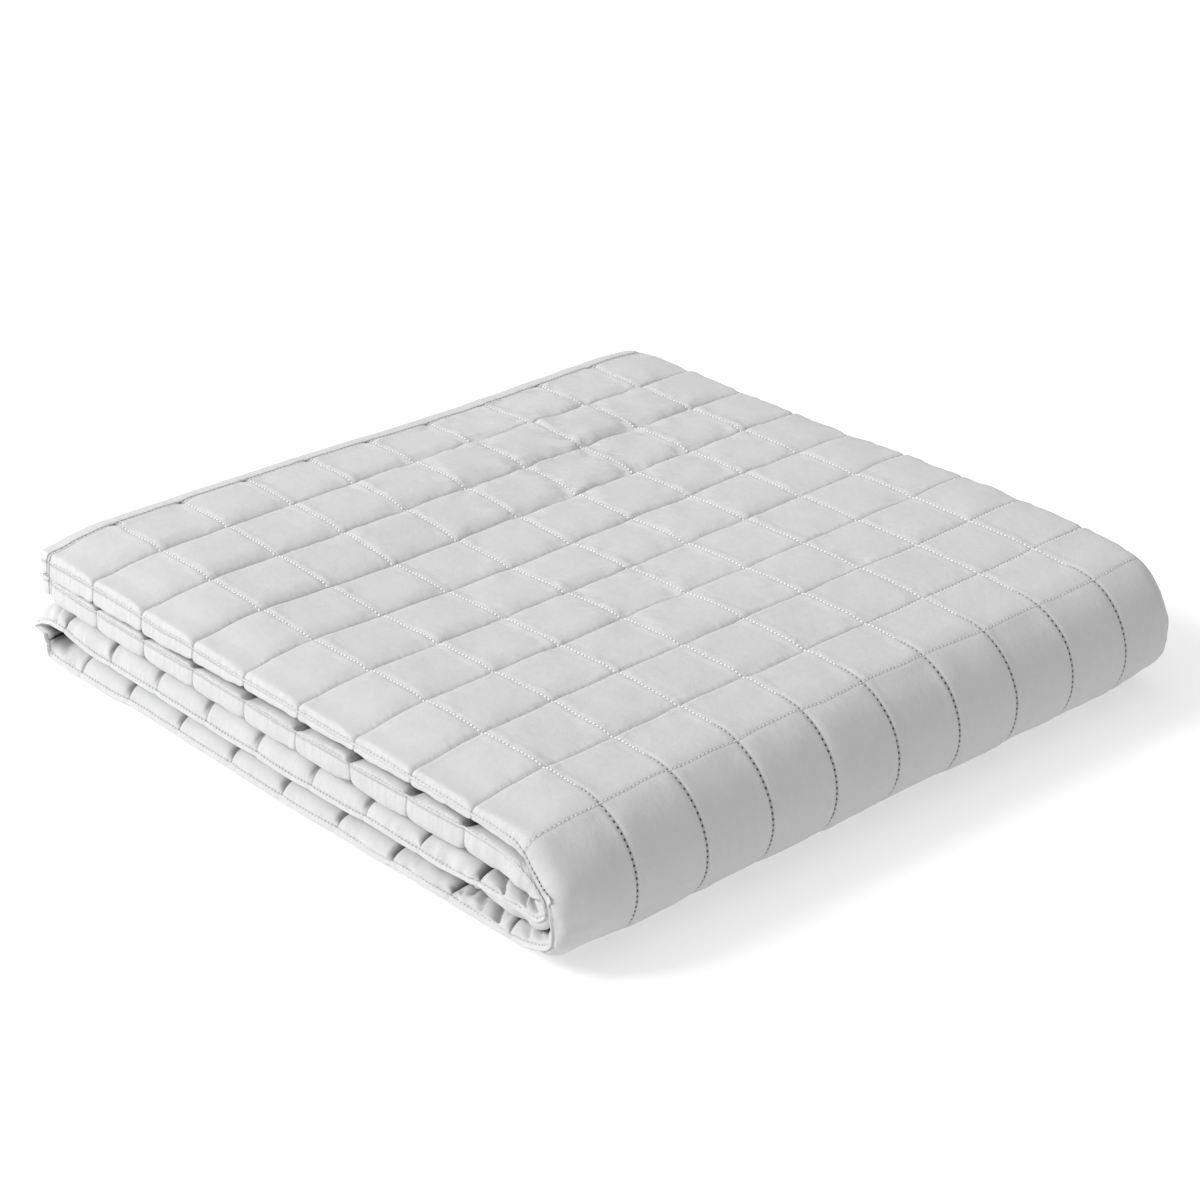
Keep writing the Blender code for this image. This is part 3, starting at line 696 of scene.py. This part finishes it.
def marks(flat, sides):
    """Per point: stretch (seams drawn open round the big fold; it also sets how much painted shade the seams there
    get), row (hem stitching shows), deep (how far back between the plies the cloth lies; it sets the painted shade
    there, in the cross-seam notches, the creases and the fold's mouth)."""
    u, v = np.clip(flat[:, 0], 0, LONG), np.clip(flat[:, 1], 0, WIDE)
    q = strip_lengths(u, v) / ALONG
    near = np.minimum(v, WIDE - v)
    down = np.where(sides > 0, faces_down(q, 1), faces_down(q, -1))
    stretch_and_fold_shade = np.where(sides > 0, np.interp(q, (8.6, 9.3, 11.2, 11.8), (0.0, 1.0, 1.0, 0.3)), 0.3)
    row = 1.0 - down
    outer = (sides > 0) & (q < 11.5) | (sides > 0) & (q > 11.5) & (q < 20.3)
    # painted shade: cloth lying back between the plies is darkened, the more the further in it lies
    deep = np.where(down > 0.5, smooth((near - 0.12) / 0.16), smooth((near - np.where(q < 29.8, 0.20, 0.13)) / 0.18))
    deep = np.where(outer | (sides == 0), 0.0, deep)
    tu = between(u)
    right = np.where((q > 9.7) & (q < 20.0), 1.0 - tu, tu)
    # painted shade in the notches at the cross seams and in the single creases
    notch = smooth((right - 0.89) / 0.11) * smooth((near - 0.01) / 0.12) * (q > 10.8)
    crease_shade_painted = smooth(creases(q * ALONG, near) / 0.06) * (q > 10.2)
    deep = np.maximum(deep, np.where(outer | (sides == 0) | (down > 0.5), 0.0, np.maximum(0.85 * notch, 0.62 * crease_shade_painted)))
    # the painted gap shade fades out toward the open end, which shows from behind, so the cloth there keeps its own
    # colour
    deep = deep * smooth((on_path(strip_lengths(u, v))[0] - 0.30) / 0.60)
    # painted shade inside the opening of the fold at the left end
    mouth = smooth((near - 0.02) / 0.14) * smooth((q - 19.45) / 0.3) * smooth((20.75 - q) / 0.3) * (sides < 0)
    deep = np.maximum(deep, 0.78 * mouth)
    gathered = np.where((sides > 0) & (q < 8.8), 0.12 + busy(q, v), 0.0)
    return {"stretch_and_fold_shade": stretch_and_fold_shade, "row": row, "deep": deep, "gathered": gathered}


# ------------------------------------------------------------------ puckers
PATCH = {"along": 11, "across": 10, "steps": 14}


def sewn_puckers():
    """How cloth with a little to spare gathers between sewn lines.

    A flat patch, held along its seams, is blown up like a filled square. What
    is left after taking away the mean dome is the gathering, in squares.
    """
    d = PATCH["steps"]
    nx, ny = PATCH["along"] * d + 1, PATCH["across"] * d + 1
    xs, ys = np.meshgrid(np.arange(nx) / d, np.arange(ny) / d, indexing="ij")
    dome = np.sin(np.pi * (xs % 1)) * np.sin(np.pi * (ys % 1))
    rough = np.random.RandomState(7).normal(0, 1, (nx, ny))
    kx, ky = np.fft.fftfreq(nx)[:, None], np.fft.rfftfreq(ny)[None, :]
    rough = np.fft.irfft2(np.fft.rfft2(rough) * np.exp(-2 * (np.pi * 1.5) ** 2 * (kx ** 2 + ky ** 2)), s=rough.shape)
    z = 0.08 * dome + 0.006 * rough / rough.std() * (dome > 1e-6)
    index = np.arange(nx * ny).reshape(nx, ny)
    quads = np.stack([index[:-1, :-1], index[1:, :-1], index[1:, 1:], index[:-1, 1:]], -1).reshape(-1, 4)
    patch = mesh_object("patch", np.stack([xs * CELL, ys * CELL, z * CELL], -1).reshape(-1, 3), quads.tolist())
    sewn = (np.arange(nx) % d == 0)[:, None] | (np.arange(ny) % d == 0)[None, :]
    patch.vertex_groups.new(name="sewn").add(index[sewn].tolist(), 1.0, "REPLACE")
    cloth = patch.modifiers.new("cloth", "CLOTH")
    c = cloth.settings
    c.quality, c.mass = 5, 0.3
    c.tension_stiffness = c.compression_stiffness = 15
    c.shear_stiffness, c.bending_stiffness = 5, 3
    c.tension_damping = c.compression_damping = c.shear_damping = 5
    c.use_pressure, c.uniform_pressure_force = True, 200
    c.shrink_min = c.shrink_max = -0.04
    c.vertex_group_mass = "sewn"
    c.effector_weights.gravity = 0
    cloth.collision_settings.use_collision = False
    frames = 20
    for frame_number in range(1, frames + 1):
        bpy.context.scene.frame_set(frame_number)
    shaped = patch.evaluated_get(bpy.context.evaluated_depsgraph_get()).to_mesh()
    out = np.empty(len(shaped.vertices) * 3)
    shaped.vertices.foreach_get("co", out)
    height = out.reshape(nx, ny, 3)[..., 2] / CELL
    bpy.context.scene.frame_set(1)
    bpy.data.objects.remove(patch, do_unlink=True)
    cells = height[:-1, :-1].reshape(PATCH["along"], d, PATCH["across"], d)
    mean = cells.mean(axis=(0, 2))
    left = height.copy()
    left[:-1, :-1] -= np.tile(mean, (PATCH["along"], PATCH["across"]))
    left[sewn] = 0.0
    return left


started = time.time()
PUCKERS = (sewn_puckers(), PATCH["steps"])
print("puckers", round(time.time() - started, 1), "s, spread", round(float(PUCKERS[0].std()), 4))

points, faces, flat, sides = build_blanket()
blanket = mesh_object("blanket_cloth", points, faces)
print("blanket triangles", sum(len(f) - 2 for f in faces))
blanket.data.shade_smooth()
uv = blanket.data.uv_layers.new(name="strip")
loops = np.empty(len(blanket.data.loops), np.int32)
blanket.data.loops.foreach_get("vertex_index", loops)
uv.data.foreach_set("uv", (flat[loops] * CELL).astype(np.float32).ravel())
along_cloth = np.stack([strip_lengths(flat[:, 0], np.clip(flat[:, 1], 0.0, WIDE)), flat[:, 1]], -1)
lengths = blanket.data.uv_layers.new(name="length")
lengths.data.foreach_set("uv", (along_cloth[loops] * CELL).astype(np.float32).ravel())


for name, values in marks(flat, sides).items():
    blanket.data.attributes.new(name, "FLOAT", "POINT").data.foreach_set("value", values.astype(np.float32))


# ------------------------------------------------------------------ stitches
THREAD = 0.0088        # thread radius
RINGS = ((0.10, 0.55, -0.9), (0.30, 1.0, 0.35), (0.70, 1.0, 0.35), (0.90, 0.55, -0.9))
SIDES = 5


def row_of_stitches(ends, side, out, fat=1.0):
    """Stitches from ends[0] to ends[1], places (u, v) on the flat strip, all
    of one length along the cloth.

    out is the direction the row faces: "face" for the cloth's own face, or
    "near" / "far" for the rows on the side hems.
    """
    (u0, v0), (u1, v1) = ends
    steps = np.linspace(0.0, 1.0, 40 * max(1, int(math.hypot(u1 - u0, v1 - v0))) + 1)
    place = strip_lengths(u0 + (u1 - u0) * steps, np.full(len(steps), v0)) if u1 != u0 else v0 + (v1 - v0) * steps
    first, last = math.ceil(place[0] / STITCH - 1e-6), math.floor(place[-1] / STITCH + 1e-6)
    count = max(1, last - first)
    rng = np.random.RandomState(int(abs(u0 * 13 + v0 * 7 + u1 * 3 + v1) * 10) % 9973)
    where = first + np.arange(count)[:, None] + np.array([0.0, 0.10, 0.30, 0.70, 0.90, 1.0])[None, :] + (rng.rand(count, 1) - 0.5) * 0.06
    t = np.interp(where * STITCH, place, steps)
    u, v = u0 + (u1 - u0) * t, v0 + (v1 - v0) * t
    p = strip_point(side, u.ravel(), v.ravel()).reshape(count, 6, 3)
    along = p[:, 5] - p[:, 0]
    along /= np.linalg.norm(along, axis=1, keepdims=True) + 1e-12
    if out == "face":
        s = strip_lengths(u[:, 2], v[:, 2])
        _, _, nx, nz = on_path(s)
        normal = np.stack([side * nx, np.zeros(count), side * nz], -1)
    else:
        lift = 1.6 if 10.6 < 0.5 * (u0 + u1) < 29.2 else 0.25
        normal = np.tile([0.0, -1.0 if out == "near" else 1.0, lift], (count, 1))
    normal -= along * (normal * along).sum(1, keepdims=True)
    normal /= np.linalg.norm(normal, axis=1, keepdims=True)
    across = np.cross(along, normal)
    angle = np.arange(SIDES) * 2 * math.pi / SIDES
    verts = []
    size = THREAD * fat
    for k, (_, girth, rise) in enumerate(RINGS):
        centre = p[:, k + 1] + normal * (size * rise)
        ring = centre[:, None] + size * girth * (np.cos(angle)[None, :, None] * normal[:, None] + np.sin(angle)[None, :, None] * across[:, None])
        verts.append(ring)
    tips = [p[:, 1] + normal * size * -1.2 - along * size * 0.6, p[:, 4] + normal * size * -1.2 + along * size * 0.6]
    return np.concatenate(verts + [tips[0][:, None], tips[1][:, None]], axis=1)


def stitch_faces():
    n, faces = len(RINGS), []
    for k in range(n - 1):
        for a in range(SIDES):
            b = (a + 1) % SIDES
            faces.append([k * SIDES + a, (k + 1) * SIDES + a, (k + 1) * SIDES + b, k * SIDES + b])
    first, last = n * SIDES, n * SIDES + 1
    for a in range(SIDES):
        b = (a + 1) % SIDES
        faces.append([first, a, b])
        faces.append([last, (n - 1) * SIDES + b, (n - 1) * SIDES + a])
    return faces


def stitches(name, rows):
    blocks = np.concatenate([row_of_stitches(*row) for row in rows])
    per = blocks.shape[1]
    one = stitch_faces()
    faces = [[i + k * per for i in f] for k in range(len(blocks)) for f in one]
    obj = mesh_object(name, to_metres(blocks.reshape(-1, 3)), faces)
    obj.data.shade_smooth()
    print(name, len(blocks), "stitches", len(blocks) * (3 * SIDES * 2 + 2 * SIDES), "triangles")
    return obj


def face_rows(side, u_from, u_to, v_from, v_to):
    rows = []
    for i in range(math.ceil(u_from), math.floor(u_to) + 1):
        if 0 < i < LONG and i != LONG_CELL:
            rows.append((((i, v_from), (i, v_to)), side, "face", 0.8))
    for j in range(1, WIDE):
        rows.append((((u_from, j), (u_to, j)), side, "face"))
    return rows


def end_rows(u, side, v_from=0.06, v_to=WIDE - 0.06):
    return [(((u, v_from), (u, v_to)), side, "face", 0.45)]


top_rows = face_rows(1, 0.0, 8.6, 0.04, WIDE - 0.04) + [(((9, 0.04), (9, WIDE - 0.04)), 1, "face", 0.6)]
base_rows = [row for row in face_rows(1, 8.6, 21.0, 0.04, WIDE - 0.04) if row[0][0][0] != 9]
edge_rows = []
for k in range(LONG):
    up_side = -1 if faces_down(np.array(k + 0.5), 1) > 0.5 else 1
    edge_rows.append((((k, 0.0), (k + 1, 0.0)), up_side, "near", 0.8))
    edge_rows.append((((k, WIDE), (k + 1, WIDE)), up_side, "far", 0.8))
end_hem_rows = []
for side in (1, -1):
    for u in (0.0, -DOUBLE_ROW, LONG, LONG + DOUBLE_ROW):
        end_hem_rows += end_rows(u, side)
thread_pieces = [
    stitches("stitches_top", top_rows),
    stitches("stitches_base", base_rows),
    stitches("stitches_edge", edge_rows + end_hem_rows),
]


# ------------------------------------------------------------------ materials
class Nodes:
    """Short ways to write shader maths."""

    def __init__(self, material):
        material.use_nodes = True
        self.tree = material.node_tree
        self.shader = self.tree.nodes["Principled BSDF"]

    def link(self, value, socket):
        if isinstance(value, (int, float)):
            socket.default_value = value
        else:
            self.tree.links.new(value, socket)

    def math(self, op, a, b=None, clamp=False):
        n = self.tree.nodes.new("ShaderNodeMath")
        n.operation, n.use_clamp = op, clamp
        self.link(a, n.inputs[0])
        if b is not None:
            self.link(b, n.inputs[1])
        return n.outputs[0]

    def off_line(self, x, spacing=1.0):
        """Distance of x from the nearest multiple of spacing."""
        k = self.math("DIVIDE", x, spacing)
        return self.math("MULTIPLY", self.math("ABSOLUTE", self.math("SUBTRACT", k, self.math("ROUND", k))), spacing)

    def fall(self, x, reach):
        """1 at x = 0 down to 0 at reach."""
        n = self.tree.nodes.new("ShaderNodeMapRange")
        n.interpolation_type = "SMOOTHSTEP"
        self.link(x, n.inputs["Value"])
        n.inputs["From Min"].default_value, n.inputs["From Max"].default_value = 0.0, reach
        n.inputs["To Min"].default_value, n.inputs["To Max"].default_value = 1.0, 0.0
        return n.outputs["Result"]

    def mark(self, name):
        n = self.tree.nodes.new("ShaderNodeAttribute")
        n.attribute_name = name
        return n.outputs["Fac"]

    def place(self, x, y, z=0.0):
        n = self.tree.nodes.new("ShaderNodeCombineXYZ")
        for k, value in enumerate((x, y, z)):
            self.link(value, n.inputs[k])
        return n.outputs[0]

    def noise(self, place, scale, detail=2.0, rough=0.5):
        n = self.tree.nodes.new("ShaderNodeTexNoise")
        self.tree.links.new(place, n.inputs["Vector"])
        n.inputs["Scale"].default_value = scale
        n.inputs["Detail"].default_value = detail
        n.inputs["Roughness"].default_value = rough
        return n.outputs["Fac"]


def fabric():
    m = bpy.data.materials.new("quilted_cotton")
    g = Nodes(m)
    uv_node = g.tree.nodes.new("ShaderNodeUVMap")
    uv_node.uv_map = "strip"
    split = g.tree.nodes.new("ShaderNodeSeparateXYZ")
    g.tree.links.new(uv_node.outputs[0], split.inputs[0])
    u, v = g.math("DIVIDE", split.outputs[0], CELL), g.math("DIVIDE", split.outputs[1], CELL)
    length_node = g.tree.nodes.new("ShaderNodeUVMap")
    length_node.uv_map = "length"
    length_split = g.tree.nodes.new("ShaderNodeSeparateXYZ")
    g.tree.links.new(length_node.outputs[0], length_split.inputs[0])
    s = g.math("DIVIDE", length_split.outputs[0], CELL)
    stretch_and_fold_shade, row, deep, gathered = g.mark("stretch_and_fold_shade"), g.mark("row"), g.mark("deep"), g.mark("gathered")
    du, dv = g.off_line(u), g.off_line(v)
    du = g.math("ADD", du, g.math("LESS_THAN", g.math("ABSOLUTE", g.math("SUBTRACT", u, float(LONG_CELL))), 0.5))
    hu, hv = g.off_line(s, STITCH), g.off_line(v, STITCH)
    # cross seams stop at the hem; the hem's own row shows on one face
    past_hem = g.math("ADD", g.math("LESS_THAN", v, -0.004), g.math("GREATER_THAN", v, WIDE + 0.004))
    du = g.math("ADD", du, past_hem)
    second = g.math("MINIMUM", g.math("ABSOLUTE", g.math("ADD", u, DOUBLE_ROW)), g.math("ABSOLUTE", g.math("SUBTRACT", u, LONG + DOUBLE_ROW)))
    past_end = g.math("ADD", g.math("LESS_THAN", u, -0.02), g.math("GREATER_THAN", u, LONG + 0.02))
    at_hem = g.math("ADD", g.math("LESS_THAN", v, 0.3), g.math("GREATER_THAN", v, WIDE - 0.3))
    dv = g.math("ADD", dv, g.math("MULTIPLY", at_hem, g.math("SUBTRACT", 1.0, row)))
    dv = g.math("ADD", dv, g.math("ADD", past_end, past_hem))
    du = g.math("MINIMUM", du, second)
    spot_a = g.fall(g.math("SQRT", g.math("ADD", g.math("POWER", du, 2.0), g.math("POWER", hv, 2.0))), 0.016)
    spot_b = g.math("SQRT", g.math("ADD", g.math("POWER", dv, 2.0), g.math("POWER", hu, 2.0)))
    spot_b = g.fall(g.math("SUBTRACT", spot_b, g.math("MULTIPLY", stretch_and_fold_shade, 0.006)), 0.016)
    holes = g.math("MAXIMUM", g.math("MULTIPLY", spot_a, 0.40), spot_b)
    line = g.math("MAXIMUM", g.fall(du, 0.026), g.fall(dv, 0.026))
    line_v = g.fall(dv, 0.026)
    near_seam = g.math("MAXIMUM", g.fall(du, 0.16), g.fall(dv, 0.16))

    flat_place = g.place(u, v)
    grain = g.noise(g.place(g.math("MULTIPLY", u, 0.45), v), 95.0, 2.0, 0.6)
    mottle = g.noise(flat_place, 9.0, 3.0, 0.55)
    broad = g.noise(flat_place, 0.9, 2.0, 0.5)
    tone_and_painted_shade = g.math("ADD", g.math("MULTIPLY", g.math("SUBTRACT", mottle, 0.5), 0.09), g.math("MULTIPLY", g.math("SUBTRACT", broad, 0.5), 0.05))
    tone_and_painted_shade = g.math("ADD", tone_and_painted_shade, g.math("MULTIPLY", g.math("SUBTRACT", grain, 0.5), 0.17))
    # small puckers along the side hems: bumped, and their light and shade also painted into the colour
    beads = g.math("SUBTRACT", g.noise(g.place(g.math("MULTIPLY", s, 13.0), g.math("MULTIPLY", v, 6.0)), 1.0, 1.0, 0.5), 0.5)
    beads = g.math("MULTIPLY", beads, g.math("MAXIMUM", g.fall(g.math("ABSOLUTE", v), 0.14), g.fall(g.math("ABSOLUTE", g.math("SUBTRACT", v, float(WIDE))), 0.14)))
    tone_and_painted_shade = g.math("ADD", tone_and_painted_shade, g.math("MULTIPLY", beads, 0.14))
    # fine gathers running away from the long seams: bumped, and their light and shade also painted into the colour
    slant = g.math("SUBTRACT", g.math("MULTIPLY", s, 6.5), g.math("MULTIPLY", v, 4.6))
    pull = g.noise(g.place(slant, g.math("MULTIPLY", g.math("ADD", s, v), 1.1)), 1.0, 2.0, 0.55)
    pull = g.math("MULTIPLY", g.math("SUBTRACT", pull, 0.5), g.math("MULTIPLY", g.fall(dv, 0.45), gathered))
    tone_and_painted_shade = g.math("ADD", tone_and_painted_shade, g.math("MULTIPLY", pull, 0.14))
    # painted shade: stitch holes and seam grooves are darkened, the long seams most round the big fold, which faces
    # away from the light
    painted_seam_shade = g.math("MULTIPLY", holes, g.math("ADD", 0.20, g.math("MULTIPLY", stretch_and_fold_shade, 0.38)))
    painted_seam_shade = g.math("ADD", painted_seam_shade, g.math("MULTIPLY", line, 0.06))
    painted_seam_shade = g.math("ADD", painted_seam_shade, g.math("MULTIPLY", g.math("MULTIPLY", g.fall(du, 0.032), g.math("SUBTRACT", 1.0, stretch_and_fold_shade)), 0.42))
    painted_seam_shade = g.math("ADD", painted_seam_shade, g.math("MULTIPLY", g.math("MULTIPLY", line_v, stretch_and_fold_shade), 0.34))
    # painted shade: the two rows of the end hem draw a fine shaded line, and the dimple at each seam is darkened
    end_line = g.math("MINIMUM", g.math("MINIMUM", g.math("ABSOLUTE", u), g.math("ABSOLUTE", g.math("SUBTRACT", u, float(LONG)))), second)
    painted_seam_shade = g.math("ADD", painted_seam_shade, g.math("MULTIPLY", g.fall(end_line, 0.011), 0.34))
    at_end = g.math("MINIMUM", g.math("ABSOLUTE", u), g.math("ABSOLUTE", g.math("SUBTRACT", u, float(LONG))))
    dimple = g.math("MULTIPLY", g.fall(g.math("ABSOLUTE", g.math("SUBTRACT", at_end, 0.02)), 0.045), g.fall(g.off_line(v), 0.05))
    dimple = g.math("MULTIPLY", dimple, g.math("GREATER_THAN", v, 0.5))
    painted_seam_shade = g.math("ADD", painted_seam_shade, g.math("MULTIPLY", dimple, 0.5))
    shade = g.math("SUBTRACT", g.math("ADD", 1.0, tone_and_painted_shade), painted_seam_shade)
    # painted shade: the deep mark darkens the cloth back between the plies, in the cross-seam notches, in the creases
    # and in the fold's opening
    shade = g.math("MULTIPLY", shade, g.math("SUBTRACT", 1.0, g.math("MULTIPLY", deep, 0.80)))
    colour = g.tree.nodes.new("ShaderNodeCombineColor")
    for k, base in enumerate(CLOTH_COLOUR):
        g.link(g.math("MULTIPLY", shade, base, clamp=True), colour.inputs[k])
    g.tree.links.new(colour.outputs[0], g.shader.inputs["Base Color"])

    # small ripples drawn in by each stitch, fading away from the seams
    draw_a = g.noise(g.place(g.math("MULTIPLY", du, 3.0), g.math("MULTIPLY", v, 14.0)), 1.0, 2.0, 0.5)
    draw_b = g.noise(g.place(g.math("MULTIPLY", u, 14.0), g.math("MULTIPLY", dv, 3.0)), 1.0, 2.0, 0.5)
    ripple = g.math("ADD", g.math("MULTIPLY", draw_a, g.fall(du, 0.15)), g.math("MULTIPLY", draw_b, g.fall(dv, 0.15)))
    ripple = g.math("MULTIPLY", ripple, g.math("SUBTRACT", 1.0, g.math("MULTIPLY", stretch_and_fold_shade, 0.8)))
    height = g.math("ADD", g.math("MULTIPLY", grain, 0.00011), g.math("MULTIPLY", ripple, 0.0009))
    height = g.math("ADD", height, g.math("MULTIPLY", pull, 0.0042))
    height = g.math("ADD", height, g.math("MULTIPLY", beads, 0.0009))
    height = g.math("SUBTRACT", height, g.math("MULTIPLY", holes, 0.0004))
    height = g.math("ADD", height, g.math("MULTIPLY", mottle, 0.00035))
    bump = g.tree.nodes.new("ShaderNodeBump")
    bump.inputs["Strength"].default_value = 0.9
    bump.inputs["Distance"].default_value = 1.0
    g.tree.links.new(height, bump.inputs["Height"])
    g.tree.links.new(bump.outputs[0], g.shader.inputs["Normal"])
    g.link(g.math("ADD", 0.72, g.math("MULTIPLY", near_seam, 0.06)), g.shader.inputs["Roughness"])
    g.shader.inputs["Sheen Weight"].default_value = 0.12
    g.shader.inputs["Sheen Roughness"].default_value = 0.45
    g.shader.inputs["Specular IOR Level"].default_value = 0.3
    return m


def thread(name, tone_and_painted_shade):
    m = bpy.data.materials.new(name)
    g = Nodes(m)
    where = g.tree.nodes.new("ShaderNodeTexCoord")
    twist = g.noise(where.outputs["Object"], 3000.0, 1.0, 0.5)
    # painted light and shade: the thread's colour is set by where it lies
    colour = g.tree.nodes.new("ShaderNodeCombineColor")
    for k in range(3):
        g.link(g.math("MULTIPLY", g.math("ADD", 0.95, g.math("MULTIPLY", twist, 0.1)), tone_and_painted_shade, clamp=True), colour.inputs[k])
    g.tree.links.new(colour.outputs[0], g.shader.inputs["Base Color"])
    g.shader.inputs["Roughness"].default_value = 0.55
    return m


blanket.data.materials.append(fabric())
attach(blanket, "root")
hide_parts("blanket")
for piece, tone_and_painted_shade in zip(thread_pieces, (THREAD_LIT_AND_SHADED_TONES["top"], THREAD_LIT_AND_SHADED_TONES["fold"], THREAD_LIT_AND_SHADED_TONES["hem"])):
    piece.data.materials.append(thread(piece.name + "_cotton", tone_and_painted_shade))
    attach(piece, "root")
    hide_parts("blanket")

# ------------------------------------------------------------------ the stage
floor = mesh_object("floor", np.array([[-6.0, -6.0, 0.0], [6.0, -6.0, 0.0], [6.0, 6.0, 0.0], [-6.0, 6.0, 0.0]]), [[0, 1, 2, 3]])
pale = bpy.data.materials.new("pale_floor")
pale.use_nodes = True
pale.node_tree.nodes["Principled BSDF"].inputs["Base Color"].default_value = (0.62, 0.62, 0.62, 1)
pale.node_tree.nodes["Principled BSDF"].inputs["Emission Color"].default_value = (1, 1, 1, 1)
pale.node_tree.nodes["Principled BSDF"].inputs["Emission Strength"].default_value = 0.445
pale.node_tree.nodes["Principled BSDF"].inputs["Roughness"].default_value = 0.9
floor.data.materials.append(pale)

world = bpy.data.worlds.new("studio")
bpy.context.scene.world = world
world.use_nodes = True
world.node_tree.nodes["Background"].inputs["Color"].default_value = (1, 1, 1, 1)
world.node_tree.nodes["Background"].inputs["Strength"].default_value = 0.30


def soft_light(name, azimuth, elevation, strength, spread):
    """A far soft light; angles in degrees, azimuth from -Y toward -X."""
    lamp = bpy.data.lights.new(name, "SUN")
    lamp.energy = strength * math.pi
    lamp.angle = math.radians(spread)
    obj = bpy.data.objects.new(name, lamp)
    bpy.context.scene.collection.objects.link(obj)
    az, el = math.radians(azimuth), math.radians(elevation)
    toward = Vector((-math.sin(az) * math.cos(el), -math.cos(az) * math.cos(el), math.sin(el)))
    obj.rotation_euler = toward.to_track_quat("Z", "Y").to_euler()
    obj.location = toward * 3.0
    return obj


soft_light("key", azimuth=33.0, elevation=35.0, strength=0.67, spread=20.0)
soft_light("fill", azimuth=-75.0, elevation=14.0, strength=0.085, spread=60.0)
soft_light("overhead", azimuth=40.0, elevation=72.0, strength=0.405, spread=95.0)

# a soft panel close by on the left, so the light falls off along the blanket
panel = bpy.data.lights.new("panel", "AREA")
panel.shape, panel.size, panel.energy = "SQUARE", 0.7, 2.35
panel_object = bpy.data.objects.new("panel", panel)
bpy.context.scene.collection.objects.link(panel_object)
panel_object.location = (-0.78, -0.58, 0.50)
panel_object.rotation_euler = Vector((-0.78, -0.58, 0.50)).to_track_quat("Z", "Y").to_euler()

# ------------------------------------------------------------------ the camera
AZ, EL, ROLL = math.radians(47.2596), math.radians(26.6664), math.radians(0.7503)
back = np.array([math.sin(AZ) * math.cos(EL), -math.cos(AZ) * math.cos(EL), math.sin(EL)])
right = np.cross(-back, [0, 0, 1.0])
right /= np.linalg.norm(right)
up = np.cross(right, -back)
r2 = right * math.cos(ROLL) + up * math.sin(ROLL)
u2 = -right * math.sin(ROLL) + up * math.cos(ROLL)
eye = (np.array([5.4097, 4.2128, 1.58]) + back * 34.2909 - np.array([MIDDLE_X, WIDE / 2, 0.0])) * CELL
camera = bpy.data.cameras.new("camera")
camera.sensor_width = 36.0
camera.lens = 2879.8 / 1200.0 * 36.0
camera.clip_start, camera.clip_end = 0.05, 50.0
cam = bpy.data.objects.new("camera", camera)
bpy.context.scene.collection.objects.link(cam)
turn = Matrix([[r2[0], u2[0], back[0], eye[0]], [r2[1], u2[1], back[1], eye[1]], [r2[2], u2[2], back[2], eye[2]], [0, 0, 0, 1]])
cam.matrix_world = turn
bpy.context.scene.camera = cam
bpy.context.scene.view_settings.view_transform = "Standard"
